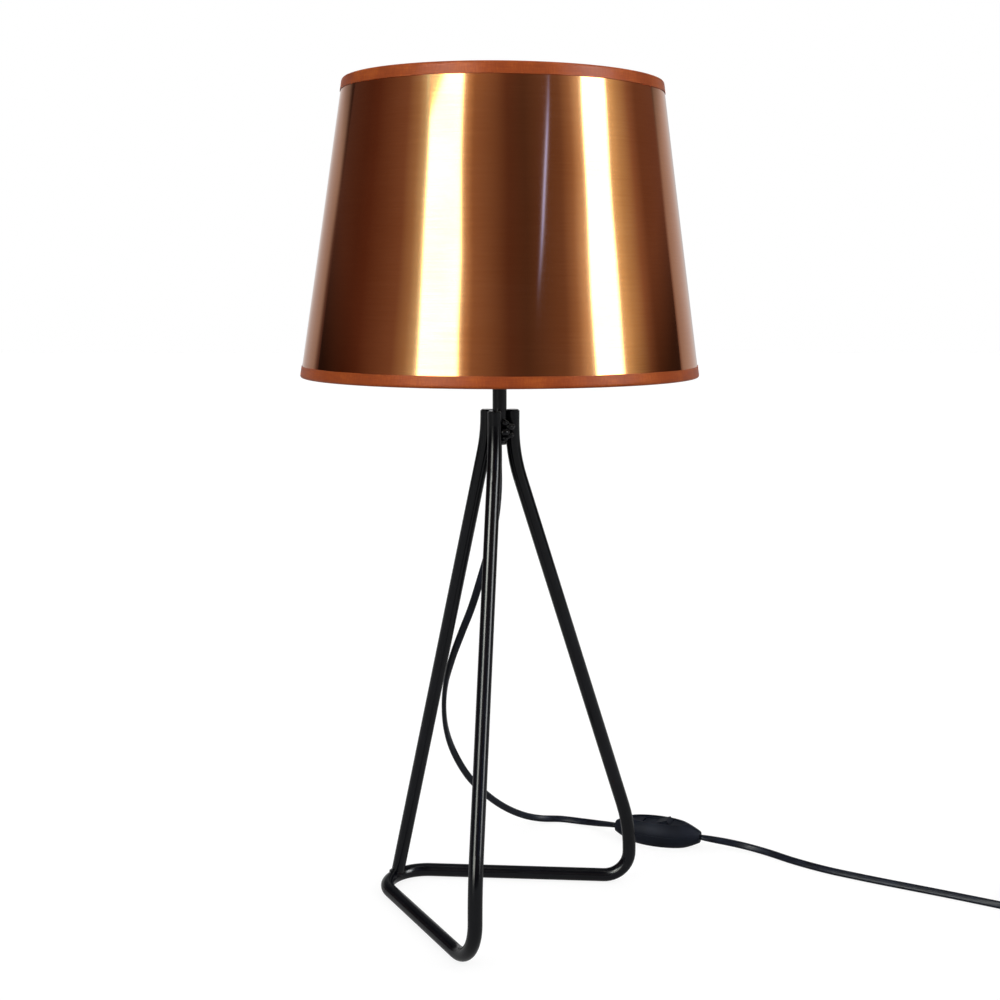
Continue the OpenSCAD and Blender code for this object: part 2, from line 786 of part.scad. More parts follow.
module switch_upper() {
    rib_y = rocker_w / 2 + 0.45;
    rib_t = 1.5;
    color(moulded_black) at_switch() difference() {
        union() {
            difference() {
                spindle_layer(0, slide_gap / 2, half_h);
                spindle_layer(switch_wall, -1, half_h - switch_wall);
            }
            for (s = [-1, 1]) {
                translate([s * case_screw_at.x, case_screw_at.y, slide_gap / 2])
                    cylinder(r = case_screw_d / 2 + 0.9, h = half_h - switch_wall + bite, $fn = 32);
                translate([-3.5, s > 0 ? rib_y : -rib_y - rib_t, pivot_z - 3.2])
                    cube([7, rib_t, half_h - switch_wall + bite - pivot_z + 3.2]);
            }
        }
        cord_slots();
        spindle_layer(step_rim, half_h - step_depth, half_h + 1);
        translate([0, 0, half_h]) cube([rocker_l + turn_gap * 2, rocker_w + turn_gap * 2, switch_wall * 3], center = true);
        translate([0, 0, pivot_z]) rotate([90, 0, 0])
            cylinder(d = pivot_d + 0.1, h = rocker_w + 4 * rib_t, center = true, $fn = 32);
        for (s = [-1, 1])
            translate([s * case_screw_at.x, case_screw_at.y, -1])
                cylinder(d = case_screw_d + 0.1, h = half_h - switch_wall, $fn = 32);
    }
}

// Turns what it holds about the rocker's pivot to the off position
module at_rocker() {
    at_switch() translate([0, 0, pivot_z]) rotate([0, -rocker_throw / 2, 0]) children();
}

plunger_bore = 5;

module rocker() {
    low = -1.5;
    color(moulded_black) at_rocker() {
        difference() {
            intersection() {
                rotate([90, 0, 0]) cylinder(r = rocker_r, h = rocker_w, center = true, $fn = 96);
                rotate([90, 0, 0]) linear_extrude(rocker_w + 2, center = true) polygon([
                    [-rocker_l, low],
                    [rocker_l, low],
                    [rocker_l, 7.6],
                    [0, 4.2],
                    [-rocker_l, 7.6]
                ]);
            }
            translate([0, 0, low - 1]) cylinder(d = plunger_d + 0.1, h = plunger_bore, $fn = 32);
        }
        for (s = [-1, 1]) rotate([s * 90, 0, 0]) translate([0, 0, rocker_w / 2 - bite])
            cylinder(d = pivot_d, h = 1.9 + bite, $fn = 32);
    }
}

tilt_z = -3;
tilt_t = 0.6;
// Radius of the round fulcrum pressed in the tilting contact, on its axis
fulcrum_r = 0.5;
// The plunger stops this far above the tilting contact when the rocker is level
plunger_gap = 0.35;
plunger_l = pivot_z - tilt_z - tilt_t / 2 - plunger_gap;

module rocker_plunger() {
    tip_r = plunger_d / 2;
    color(ivory) at_rocker() {
        translate([0, 0, tip_r - plunger_l]) sphere(r = tip_r, $fn = 32);
        translate([0, 0, tip_r - plunger_l]) cylinder(r = tip_r, h = plunger_l - tip_r + 2, $fn = 32);
    }
}

module moving_contact() {
    color(brass) at_switch() translate([0, 0, tilt_z]) rotate([0, tilt_throw / 2, 0]) {
        cube([tilt_l, tilt_w, tilt_t], center = true);
        translate([tilt_l / 2 - 1.6, 0, -tilt_t / 2 - 0.3]) cylinder(r = 1.2, h = 0.5, $fn = 24);
        intersection() {
            rotate([90, 0, 0]) cylinder(r = fulcrum_r, h = tilt_w - 0.6, center = true, $fn = 24);
            translate([-1, -tilt_w, -1]) cube([2, tilt_w * 2, 1]);
        }
    }
}

strip_t = 0.7;
strip_y = -3;
strip_w = 4;
terminal_box = [6, 5, 4.8];
terminal_x = 18.5;
wire_z = -4.4;

// A strip on the switch's floor with its terminal block, on the side s
module contact_strip(s, inner) {
    low = floor_z + seat_gap;
    outer = terminal_x + terminal_box.x / 2;
    difference() {
        union() {
            translate([s > 0 ? inner : -outer, strip_y, low]) cube([outer - inner, strip_w, strip_t]);
            translate([s * terminal_x - terminal_box.x / 2, strip_y - 3, low + strip_t - 0.1]) cube(terminal_box);
        }
        translate([s * terminal_x, strip_y - 0.5, wire_z]) rotate([0, 90, 0])
            cylinder(d = core_d + 0.2, h = terminal_box.x + 2, center = true, $fn = 24);
        translate([s * terminal_x, strip_y - 0.5, wire_z]) cylinder(r = 1.35, h = 5, $fn = 24);
    }
}

module fixed_contact() {
    low_tip = tilt_z - (tilt_l / 2 - 1.6) * sin(tilt_throw / 2) - tilt_t - 1.0;
    color(brass) at_switch() {
        contact_strip(1, tilt_l / 2 - 3.4);
        translate([tilt_l / 2 - 1.6, -1, floor_z + seat_gap]) cylinder(r = 1.4, h = low_tip - floor_z, $fn = 24);
    }
}

module pivot_contact() {
    color(brass) at_switch() {
        contact_strip(-1, -1.5);
        translate([-1.2, strip_y, floor_z + seat_gap + strip_t / 2])
            cube([2.4, strip_w, tilt_z - tilt_t / 2 - turn_gap - floor_z - seat_gap - strip_t / 2]);
    }
}

module switch_terminal_screws() {
    color(steel) at_switch() for (s = [-1, 1]) translate([s * terminal_x, strip_y - 0.5, wire_z + core_d / 2]) {
        cylinder(r = 1.25, h = 3.4, $fn = 32);
        translate([0, 0, 2.2]) cylinder(r = 2.1, h = 1.4, $fn = 32);
    }
}

lead_in = 24.5;

// An insulated core through pts, ten-sided, its lengths run a little past each corner
module wire(pts, r) {
    for (i = [0 : len(pts) - 2]) {
        d = unit(pts[i + 1] - pts[i]) * r * 0.4;
        straight(pts[i] - d, pts[i + 1] + d, r, 10);
    }
}

// The cord's ends inside the switch: the cut core to the terminals, the other core straight through
module switch_leads() {
    color(cord_black) at_switch() {
        for (s = [-1, 1]) {
            translate([s > 0 ? lead_in : -half_l, 0, 0]) rotate([90, 0, 90])
                linear_extrude(half_l - lead_in) polygon(cord_outline);
            wire(
                [
                    [s * (lead_in + 0.5), -1.4, 0],
                    [s * (lead_in - 1), -1.8, -1.4],
                    [s * (terminal_x + 4.4), strip_y - 0.5, wire_z],
                    [s * terminal_x, strip_y - 0.5, wire_z]
                ],
                core_d / 2
            );
        }
        wire(
            [
                [-lead_in - 0.5, 1.4, 0],
                [-13.5, 1.4, -4.8],
                [-9, 4.3, -5.6],
                [9, 4.3, -5.6],
                [13.5, 1.4, -4.8],
                [lead_in + 0.5, 1.4, 0]
            ],
            core_d / 2
        );
    }
}

clamp_z = cord_t / 2 + seat_gap;
clamp_t = 1.2;

module cord_clamps() {
    color(ivory) at_switch() for (s = [-1, 1]) difference() {
        translate([s * clamp_x - 1.8, -clamp_y - 1.5, clamp_z]) cube([3.6, clamp_y * 2 + 3, clamp_t]);
        for (t = [-1, 1])
            translate([s * clamp_x, t * clamp_y, 0]) cylinder(d = clamp_screw_d + 0.1, h = 8, $fn = 24);
    }
}

module clamp_screws() {
    color(steel) at_switch() for (s = [-1, 1], t = [-1, 1])
        translate([s * clamp_x, t * clamp_y, clamp_z + clamp_t + seat_gap]) {
            cylinder(d = clamp_screw_d + 0.9, h = 0.8, $fn = 32);
            translate([0, 0, -6]) cylinder(d = clamp_screw_d, h = 6.5, $fn = 32);
        }
}

module switch_screws() {
    color(steel) at_switch() for (s = [-1, 1])
        translate([s * case_screw_at.x, case_screw_at.y, -half_h + 0.1]) {
            cylinder(d = case_screw_d + 1.7, h = 1.15, $fn = 32);
            cylinder(d = case_screw_d, h = switch_h - switch_wall - 2.4, $fn = 32);
        }
}

// The plug lies on its broad side. Its own frame has +X from the face along the pins.
plug_at = [478, 48];
plug_az = 82;
pin_lean = atan((pin_gap - pin_tip_gap) / 2 / pin_l);
pin_seat = 12;
// The sleeves on the pins are thinner than the pins' bare ends and start in a recess of the face
sleeve_d = pin_d - 0.4;
sleeve_seat = 1;

module at_plug() {
    translate([plug_at.x, plug_at.y, plug_t / 2]) rotate([0, 0, plug_az]) children();
}

// Puts its child at the foot of each pin, with +Z along the pin
module at_pins() {
    for (s = [-1, 1])
        translate([0, s * pin_gap / 2, 0]) rotate([0, 0, -s * pin_lean]) rotate([0, 90, 0]) children();
}

module plug_body() {
    edge = 4.2;
    back_t = plug_t * 0.8;
    color(moulded_black) at_plug() difference() {
        union() {
            intersection() {
                rotate([90, 0, 90]) translate([0, 0, -plug_l]) linear_extrude(plug_l) polygon([
                    for (s = [1, -1], p = [[-plug_w / 2, edge - plug_t / 2], [edge - plug_w / 2, -plug_t / 2],
                        [plug_w / 2 - edge, -plug_t / 2], [plug_w / 2, edge - plug_t / 2]]) p * s
                ]);
                rotate([90, 0, 0]) linear_extrude(plug_w + 2, center = true) polygon([
                    [1, -plug_t / 2 - 1],
                    [-plug_l * 0.3, -plug_t / 2 - 1],
                    [-plug_l * 0.3, -plug_t / 2],
                    [-plug_l - 1, -back_t / 2],
                    [-plug_l - 1, back_t / 2],
                    [-plug_l * 0.3, plug_t / 2],
                    [-plug_l * 0.3, plug_t / 2 + 1],
                    [1, plug_t / 2 + 1]
                ]);
                difference() {
                    translate([-plug_l - 1, -plug_w, -plug_t]) cube([plug_l + 2, plug_w * 2, plug_t * 2]);
                    for (s = [-1, 1])
                        translate([-plug_l - 2, s * (grip_r + waist_w / 2), -plug_t - 1])
                            cylinder(r = grip_r, h = plug_t * 2 + 2, $fn = 120);
                }
            }
            translate([bite - plug_l, 0, 0]) rotate([0, -90, 0])
                cylinder(d1 = relief_d, d2 = relief_end_d, h = relief_l + bite, $fn = 48);
        }
        for (i = [0 : 4])
            translate([-plug_l - 3.4 - i * (relief_l - 5) / 5, 0, 0]) rotate([0, 90, 0]) difference() {
                cylinder(d = relief_d + 2, h = 1.6, $fn = 48);
                translate([0, 0, -1]) cylinder(d = cord_w + 0.6 + (4 - i) * 0.5, h = 4, $fn = 48);
            }
        at_pins() {
            translate([0, 0, -pin_seat]) cylinder(d = pin_d - 0.8, h = pin_seat + 1, $fn = 32);
            translate([0, 0, -sleeve_seat]) cylinder(d = sleeve_d + 0.2, h = sleeve_seat + 1, $fn = 48);
        }
    }
}

module plug_pins() {
    color(steel) at_plug() at_pins() {
        translate([0, 0, 0.2 - pin_seat]) cylinder(d = pin_d - 1, h = pin_seat + sleeve_l, $fn = 32);
        translate([0, 0, sleeve_l]) cylinder(d = pin_d, h = pin_l - sleeve_l - 1, $fn = 48);
        translate([0, 0, pin_l - 1 - 0.01]) cylinder(d1 = pin_d - 0.02, d2 = pin_d - 1.2, h = 1, $fn = 48);
    }
}

module plug_pin_sleeves() {
    color(moulded_black) at_plug() at_pins() translate([0, 0, seat_gap - sleeve_seat]) difference() {
        cylinder(d = sleeve_d, h = sleeve_l + sleeve_seat - seat_gap * 2, $fn = 48);
        translate([0, 0, -1]) cylinder(d = pin_d - 0.9, h = sleeve_l + sleeve_seat + 2, $fn = 48);
    }
}

// A flat tube along pts, its section's long axis along wide at each point, two rings a span
function spline(a, b, c, d, s) =
    0.5 * (2 * b + (c - a) * s + (2 * a - 5 * b + 4 * c - d) * pow(s, 2) + (3 * b - a - 3 * c + d) * pow(s, 3));
function along(list, k, s) = spline(
    k > 0 ? list[k - 1] : 2 * list[0] - list[1],
    list[k],
    list[k + 1],
    k + 2 < len(list) ? list[k + 2] : 2 * list[k + 1] - list[k],
    s
);
function sampled(list) = [
    for (k = [0 : len(list) - 2]) each [along(list, k, 0), along(list, k, 0.5)],
    list[len(list) - 1]
];
function column(rows, first) = [for (r = rows) [r[first], r[first + 1], r[first + 2]]];
function heading(pts, i) =
    unit(pts[min(i + 1, len(pts) - 1)] - pts[max(i - 1, 0)]);

// Sweeps outline along pts. ends holds the directions of the first and the last ring.
module swept(pts, wide, outline, ends) {
    n = len(outline);
    last = len(pts) - 1;
    rings = [
        for (i = [0 : last])
            let (
                t = i == 0 ? ends[0] : i == last ? ends[1] : heading(pts, i),
                a = unit(wide[i] - (wide[i] * t) * t),
                b = cross(t, a)
            )
            each [for (q = outline) pts[i] + a * q.x + b * q.y]
    ];
    polyhedron(rings, concat(
        [[for (j = [0 : n - 1]) j]],
        [[for (j = [n - 1 : -1 : 0]) last * n + j]],
        [
            for (i = [0 : last - 1], j = [0 : n - 1])
                let (k = (j + 1) % n)
                each [
                    [i * n + j, (i + 1) * n + j, (i + 1) * n + k],
                    [i * n + j, (i + 1) * n + k, i * n + k]
                ]
        ]
    ));
}

switch_dir = at(switch_az, 1, 0);
plug_dir = at(plug_az, 1, 0);

// Each row is a point of the route and the direction of the cord's broad side there
upper_route = [
    [0, 0, 350.85, 0, 1, 0],
    [0, 0, 337, 0, 1, 0],
    [-0.3, 0.2, 318, 0, 1, 0],
    [-2.8, 1.6, 297, 0, 1, 0],
    [-7.4, 5, 274, 0, 1, 0],
    [-13.7, 10, 251, 0, 1, 0],
    [-20.8, 17.4, 227, 0, 1, 0],
    [-28.8, 25.8, 205, 0, 1, 0],
    [-36.3, 36.5, 182.5, 0, 1, 0],
    [-41.7, 49.5, 159, 0.1, 1, 0.05],
    [-43.6, 63.5, 135.5, 0.2, 0.9, 0.1],
    [-42, 77.5, 113, 0.4, 0.8, 0.2],
    [-36.5, 92, 91, 0.6, 0.6, 0.35],
    [-26.5, 109.5, 67, 0.7, 0.4, 0.5],
    [-13, 128.5, 45.5, 0.75, 0.2, 0.6],
    [2.5, 148, 27, 0.6, 0.2, 0.7],
    [19, 166.5, 12.8, 0.3, 0.3, 0.7],
    [35, 180, 4.6, 0.1, 0.5, 0.7],
    [53.5, 183.5, 2.75, 0, 0.64, 0.77],
    [71, 176.5, 3.1, 0.1, 0.66, 0.7],
    [84.5, 164.8, 5.6, 0.3, 0.8, 0.5],
    [92.6, 154.6, 8.4, 0.39, 0.92, 0.2],
    [99.26, 148.48, 9.8, 0.39, 0.92, 0]
];
lower_route = [
    [166.74, 120.12, 9.8, 0.39, 0.92, 0],
    [175, 117.6, 9.1, 0.39, 0.92, 0],
    [191, 116.4, 6.4, 0.3, 0.95, 0.1],
    [207, 112.6, 3.9, 0.4, 0.85, 0.4],
    [221.8, 102, 3, 0.4, 0.6, 0.7],
    [235.6, 87.8, 2.9, 0.2, 0.3, 0.9],
    [249, 75.6, 2.9, 0, 0, 1],
    [262.6, 64.9, 2.9, 0, 0, 1],
    [276.5, 55.8, 2.9, 0, 0, 1],
    [297, 43.2, 2.9, 0, 0, 1],
    [319, 30.5, 2.9, 0, 0, 1],
    [341, 17.8, 2.9, 0, 0, 1],
    [363, 4.4, 2.9, 0, 0, 1],
    [384, -9.6, 3.1, 0, 0, 1]
];

// The coil: in over the bottom layer, up while it reverses, and out over the top layer
coil_entry = [402, -23.1];
coil_start_az = -127;
coil_z = 3.45;
coil_rings = 24;
coil_swing = coil_turns * 180;
coil_outer = coil_r + coil_pitch * coil_turns / 4;
coil_inner = coil_r - coil_pitch * coil_turns / 4;
coil_centre = [
    coil_entry.x - coil_outer * cos(coil_start_az),
    coil_entry.y - coil_outer * sin(coil_start_az)
];
function smooth(s) = let (q = min(max(s, 0), 1)) q * q * (3 - 2 * q);
// A point of the coil, u degrees past the reversal
function coil_point(u) = let (
    r = coil_inner + coil_pitch * abs(u) / 360,
    az = coil_start_az + u + coil_swing
) [
    coil_centre.x + r * cos(az),
    coil_centre.y + r * sin(az),
    coil_z + layer_pitch * smooth((u + 90) / 180)
];
// Direction in which the cord enters and leaves the coil
coil_dir = at(coil_start_az + 90, 1, 0);
coil_in = coil_point(-coil_swing);
coil_out = coil_point(coil_swing);
coil_line = [
    coil_in - coil_dir * cord_w,
    for (i = [0 : coil_turns * coil_rings]) coil_point(-coil_swing + i * 360 / coil_rings),
    coil_out + coil_dir * cord_w
];
coil_outline = [
    for (p = [[0, 1], [1, 0.55], [1, -0.55], [0, -1], [-1, -0.55], [-1, 0.55]])
        [p.y * cord_w / 2, -p.x * cord_t / 2]
];

// Least gap between two rings of the coil: across their flat sides or their slanted edges
edge_normal = unit([coil_outline[1].x - coil_outline[0].x, coil_outline[1].y - coil_outline[0].y]);
function ring_gap(p, q) = let (
    apart = norm(flat(q - p)) * cos(180 / coil_rings),
    rise = abs(q.z - p.z)
) max(
    apart - cord_t,
    abs(edge_normal.x) * apart + abs(edge_normal.y) * (rise - cord_w)
);
coil_gap = min([
    for (i = [0 : len(coil_line) - 1], j = [i + 8 : 1 : len(coil_line) - 1])
        ring_gap(coil_line[i], coil_line[j])
]);
echo(coil_least_gap = coil_gap);

plug_back = plug_l + relief_l;
tail_end = [plug_at.x - plug_back * plug_dir.x, plug_at.y - plug_back * plug_dir.y];
tail_start = coil_line[len(coil_line) - 1];
tail_route = [
    [tail_start.x, tail_start.y, tail_start.z, 0, 0, 1],
    [422, -38, 8, 0, 0, 1],
    [438, -46, 4.6, 0, 0, 1],
    [455, -46, 3.2, 0, 0, 1],
    [466, -35.5, 4.4, 0, 0, 1],
    [468.6, -24, 6.4, 0, 0, 1],
    [tail_end.x, tail_end.y, plug_t / 2, 0, 0, 1]
];

function length(pts, i = 0) = i < len(pts) - 1 ? norm(pts[i + 1] - pts[i]) + length(pts, i + 1) : 0;
echo(cord_length = length(column(sampled(upper_route), 0)) + length(column(sampled(lower_route), 0))
    + switch_l + length(coil_line) + length(column(sampled(tail_route), 0))
    + norm(coil_line[0] - column(lower_route, 0)[len(lower_route) - 1]));

module cord_upper() {
    rows = sampled(upper_route);
    color(cord_black) swept(column(rows, 0), column(rows, 3), cord_outline, [[0, 0, -1], switch_dir]);
}

module cord_lower() {
    rows = sampled(concat(lower_route, [[coil_line[0].x, coil_line[0].y, coil_z, 0, 0, 1]]));
    color(cord_black) swept(column(rows, 0), column(rows, 3), cord_outline, [switch_dir, coil_dir]);
}

module cord_coil() {
    color(cord_black)
        swept(coil_line, [for (p = coil_line) [0, 0, 1]], coil_outline, [coil_dir, coil_dir]);
}

module cord_tail() {
    rows = sampled(tail_route);
    color(cord_black) swept(column(rows, 0), column(rows, 3), cord_outline, [coil_dir, plug_dir]);
}

// The band round all the coil's turns, three quarters of a turn past the entry
module coil_tie() {
    // A turn's straights dip inward between its rings
    dip = tie_w / 2 * tan(180 / coil_rings + atan(coil_pitch / (2 * PI * coil_inner)));
    low = coil_inner + coil_pitch / 4 - cord_t / 2 - dip - tie_gap;
    high = coil_outer - coil_pitch / 4 + cord_t / 2 + tie_gap;
    color(cord_black) translate([coil_centre.x, coil_centre.y, coil_z - cord_w / 2 - tie_gap])
        rotate([0, 0, coil_start_az + 270]) translate([0, tie_w / 2, 0]) rotate([90, 0, 0])
            linear_extrude(tie_w) difference() {
                translate([low - tie_t, -tie_t])
                    square([high - low + tie_t * 2, layer_pitch + cord_w + tie_gap * 2 + tie_t * 2]);
                translate([low, 0]) square([high - low, layer_pitch + cord_w + tie_gap * 2]);
            }
}

base_frame();
left_leg();
foot_weld();
stem_tube();
stem_welds();
stem_bush();
stem_lead();
holder_cap();
holder_skirt();
holder_core();
centre_contact();
side_contact();
terminal_screws();
shade_ring();
shade_carrier();
top_wire();
shade_panel();
top_trim();
bottom_trim();
bulb_contact();
bulb_insulator();
bulb_cap();
bulb_globe();
switch_lower();
switch_upper();
rocker();
rocker_plunger();
moving_contact();
fixed_contact();
pivot_contact();
switch_terminal_screws();
switch_leads();
cord_clamps();
clamp_screws();
switch_screws();
plug_body();
plug_pins();
plug_pin_sleeves();
cord_upper();
cord_lower();
cord_coil();
cord_tail();
coil_tie();
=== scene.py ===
import math

import bpy
import numpy as np
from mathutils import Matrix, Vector


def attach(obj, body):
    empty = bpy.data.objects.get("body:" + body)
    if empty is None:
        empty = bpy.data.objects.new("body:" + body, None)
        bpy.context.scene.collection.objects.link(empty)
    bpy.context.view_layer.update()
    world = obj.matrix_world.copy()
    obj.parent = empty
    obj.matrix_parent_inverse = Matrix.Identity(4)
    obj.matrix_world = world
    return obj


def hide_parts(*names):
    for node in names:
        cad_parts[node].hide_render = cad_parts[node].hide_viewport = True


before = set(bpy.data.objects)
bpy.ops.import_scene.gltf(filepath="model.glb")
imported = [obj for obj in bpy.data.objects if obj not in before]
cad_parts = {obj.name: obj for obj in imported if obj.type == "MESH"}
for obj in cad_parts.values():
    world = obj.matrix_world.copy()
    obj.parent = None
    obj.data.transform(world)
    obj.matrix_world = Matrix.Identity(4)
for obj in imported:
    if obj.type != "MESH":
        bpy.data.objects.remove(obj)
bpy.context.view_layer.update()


# Viewpoint

# A short portrait lens just over a metre away, at the height of the shade and tipped
# down a little, so that the shade's lower rim bows down and its upper rim bows up.
eye = bpy.data.cameras.new("viewpoint")
eye.sensor_width = 36.0
eye.lens = 55.615
eye.clip_start = 0.05
eye.clip_end = 50.0
viewpoint = bpy.data.objects.new("viewpoint", eye)
viewpoint.location = (0.0003, -1.11235, 0.46881)
viewpoint.rotation_euler = (math.radians(90 - 8.118), 0.0, 0.0)
bpy.context.scene.collection.objects.link(viewpoint)
bpy.context.scene.camera = viewpoint


# Mains cord

# Flat two-core flex, 5.7 by 3.5 mm, its black PVC sheath extruded over the cores. It drops out of
# the stem, leans on the back rod, reaches the switch and runs on to a coil and the plug.
def linear(code):
    """An sRGB hex colour as the linear numbers that a shader takes."""
    parts = [int(code[i:i + 2], 16) / 255 for i in (1, 3, 5)]
    return (*[p / 12.92 if p <= 0.04045 else ((p + 0.055) / 1.055) ** 2.4 for p in parts], 1.0)


def add(tree, kind, inputs=None, **settings):
    """Adds a node to tree, with its settings, and with each input set or linked."""
    made = tree.nodes.new(kind)
    for name, value in settings.items():
        setattr(made, name, value)
    for name, value in (inputs or {}).items():
        if isinstance(value, bpy.types.NodeSocket):
            tree.links.new(value, made.inputs[name])
        else:
            made.inputs[name].default_value = value
    return made


def start_material(name, **sockets):
    """A new material, its node tree and its shader, with the constants set on the shader."""
    made = bpy.data.materials.new(name)
    made.use_nodes = True
    shader = made.node_tree.nodes["Principled BSDF"]
    for socket, value in sockets.items():
        shader.inputs[socket.replace("_", " ")].default_value = value
    return made, made.node_tree, shader


def set_stops(ramp, stops):
    """Gives a colour ramp its stops, each a place from 0 to 1 and a linear colour."""
    line = ramp.color_ramp
    while len(line.elements) > 1:
        line.elements.remove(line.elements[-1])
    line.elements[0].position, line.elements[0].color = stops[0]
    for place, colour in stops[1:]:
        line.elements.new(place).color = colour


def make_piece(name, points, faces, material, smooth=True):
    """A piece of the object from its points, in metres, and its faces."""
    mesh = bpy.data.meshes.new(name)
    mesh.from_pydata([tuple(p) for p in points], [], faces)
    mesh.validate()
    mesh.materials.append(material)
    mesh.polygons.foreach_set("use_smooth", [smooth] * len(mesh.polygons))
    piece = bpy.data.objects.new(name, mesh)
    bpy.context.scene.collection.objects.link(piece)
    return piece


# PVC sheath: a soft black with a blue cast, a low even gloss and a faint drag from the die.
cord_pvc, tree, shader = start_material(
    "extruded_pvc_black", IOR=1.53, Roughness=0.42, Specular_IOR_Level=0.2,
)
place = add(tree, "ShaderNodeTexCoord").outputs["Object"]
mottle = add(tree, "ShaderNodeTexNoise", {"Vector": place, "Scale": 1000 / 9, "Detail": 4.0})
tone = add(tree, "ShaderNodeValToRGB", {"Fac": mottle.outputs["Fac"]})
set_stops(tone, [(0.3, linear("#0B0D14")), (0.72, linear("#151A27"))])
tree.links.new(tone.outputs["Color"], shader.inputs["Base Color"])
skin = add(tree, "ShaderNodeTexNoise", {"Vector": place, "Scale": 1000 / 1.2, "Detail": 3.0})
gloss = add(tree, "ShaderNodeMapRange", {"Value": skin.outputs["Fac"], "To Min": 0.3, "To Max": 0.46})
tree.links.new(gloss.outputs["Result"], shader.inputs["Roughness"])
drag = add(tree, "ShaderNodeBump", {"Height": skin.outputs["Fac"], "Strength": 0.25, "Distance": 0.00003})
tree.links.new(drag.outputs["Normal"], shader.inputs["Normal"])

cord_wide = 0.0057
cord_thick = 0.0035


def smooth_route(rows, steps):
    """A smooth curve through rows of a point in millimetres and the way of the cord's broad side.

    It gives the curve's points, in metres, and the broad side's way at each.
    """
    rows = np.array(rows, float)
    ends = np.vstack([2 * rows[0] - rows[1], rows, 2 * rows[-1] - rows[-2]])
    out = []
    for k in range(len(rows) - 1):
        a, b, c, d = ends[k:k + 4]
        for s in np.arange(steps) / steps:
            out.append(0.5 * (
                2 * b + (c - a) * s + (2 * a - 5 * b + 4 * c - d) * s ** 2
                + (3 * b - a - 3 * c + d) * s ** 3
            ))
    out.append(rows[-1])
    out = np.array(out)
    return out[:, :3] / 1000, out[:, 3:]


def sweep_cord(line, wide):
    """Points and faces of the flat sheath along a line, its broad side along wide."""
    sides = 20
    flat = (cord_wide - cord_thick) / 2
    half = cord_thick / 2
    section = []
    for j in range(sides):
        turn = (j + 0.5) * 2 * math.pi / sides
        u, v = math.sin(turn), math.cos(turn)
        section.append((math.copysign(flat, u) + half * u, half * v))
    points, faces = [], []
    for i, p in enumerate(line):
        along = line[min(i + 1, len(line) - 1)] - line[max(i - 1, 0)]
        along /= np.linalg.norm(along)
        broad = wide[i] - np.dot(wide[i], along) * along
        broad /= np.linalg.norm(broad)
        narrow = np.cross(along, broad)
        points += [p + broad * u + narrow * v for u, v in section]
    for i in range(len(line) - 1):
        for j in range(sides):
            k = (j + 1) % sides
            faces.append((i * sides + j, i * sides + k, (i + 1) * sides + k, (i + 1) * sides + j))
    last = (len(line) - 1) * sides
    faces.append(tuple(range(sides - 1, -1, -1)))
    faces.append(tuple(last + j for j in range(sides)))
    return points, faces


upper_line, upper_wide = smooth_route([
    (0, 0, 350.85, 0, 1, 0),
    (0, 0, 337, 0, 1, 0),
    (-0.3, 0.2, 318, 0.3, 0.95, 0),
    (-2.8, 1.6, 297, 0.8, 0.6, 0),
    (-7.4, 5, 274, 1, 0.2, 0),
    (-13.7, 10, 251, 1, 0, 0),
    (-20.8, 17.4, 227, 1, 0, 0),
    (-28.8, 25.8, 205, 1, 0, 0),
    (-36.3, 36.5, 182.5, 0.9, 0.5, 0),
    (-41.7, 49.5, 159, 0.25, 1, 0.05),
    (-43.6, 63.5, 135.5, 0.05, 1, 0.05),
    (-42, 77.5, 113, 0.25, 0.9, 0.15),
    (-36.5, 92, 91, 0.6, 0.6, 0.35),
    (-26.5, 109.5, 67, 0.7, 0.4, 0.5),
    (-13, 128.5, 45.5, 0.75, 0.2, 0.6),
    (2.5, 148, 27, 0.6, 0.2, 0.7),
    (19, 166.5, 12.8, 0.3, 0.3, 0.7),
    (35, 180, 4.6, 0, 0.3, 0.95),
    (53.5, 183.5, 2.75, 0, 0.64, 0.77),
    (71, 176.5, 3.1, 0.1, 0.66, 0.7),
    (84.5, 164.8, 5.6, 0.3, 0.8, 0.5),
    (92.6, 154.6, 8.4, 0.39, 0.92, 0.2),
    (99.26, 148.48, 9.8, 0.39, 0.92, 0),
], 6)
points, faces = sweep_cord(upper_line, upper_wide)
cord_to_switch = make_piece("cord_to_switch", points, faces, cord_pvc)
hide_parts("cord_upper")
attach(cord_to_switch, "stand")

# The cord stands on its edge in the coil, in two layers of whole turns: in over the bottom layer,
# up while it reverses, and out over the top layer. The values are in millimetres.
coil_turns = 5
coil_pitch = 4.1
layer_pitch = 6.3
coil_r = 29.0
coil_z = 3.45
coil_start = math.radians(-127)
coil_outer = coil_r + coil_pitch * coil_turns / 4
coil_inner = coil_r - coil_pitch * coil_turns / 4
entry_x, entry_y = 402, -23.1
coil_x = entry_x - coil_outer * math.cos(coil_start)
coil_y = entry_y - coil_outer * math.sin(coil_start)


def coil_point(u):
    """A point of the coil, u radians past the reversal, in millimetres."""
    r = coil_inner + coil_pitch * abs(u) / (2 * math.pi)
    az = coil_start + u + coil_turns * math.pi
    q = min(max((u / math.pi + 0.5), 0), 1)
    z = coil_z + layer_pitch * q * q * (3 - 2 * q)
    return coil_x + r * math.cos(az), coil_y + r * math.sin(az), z, 0, 0, 1


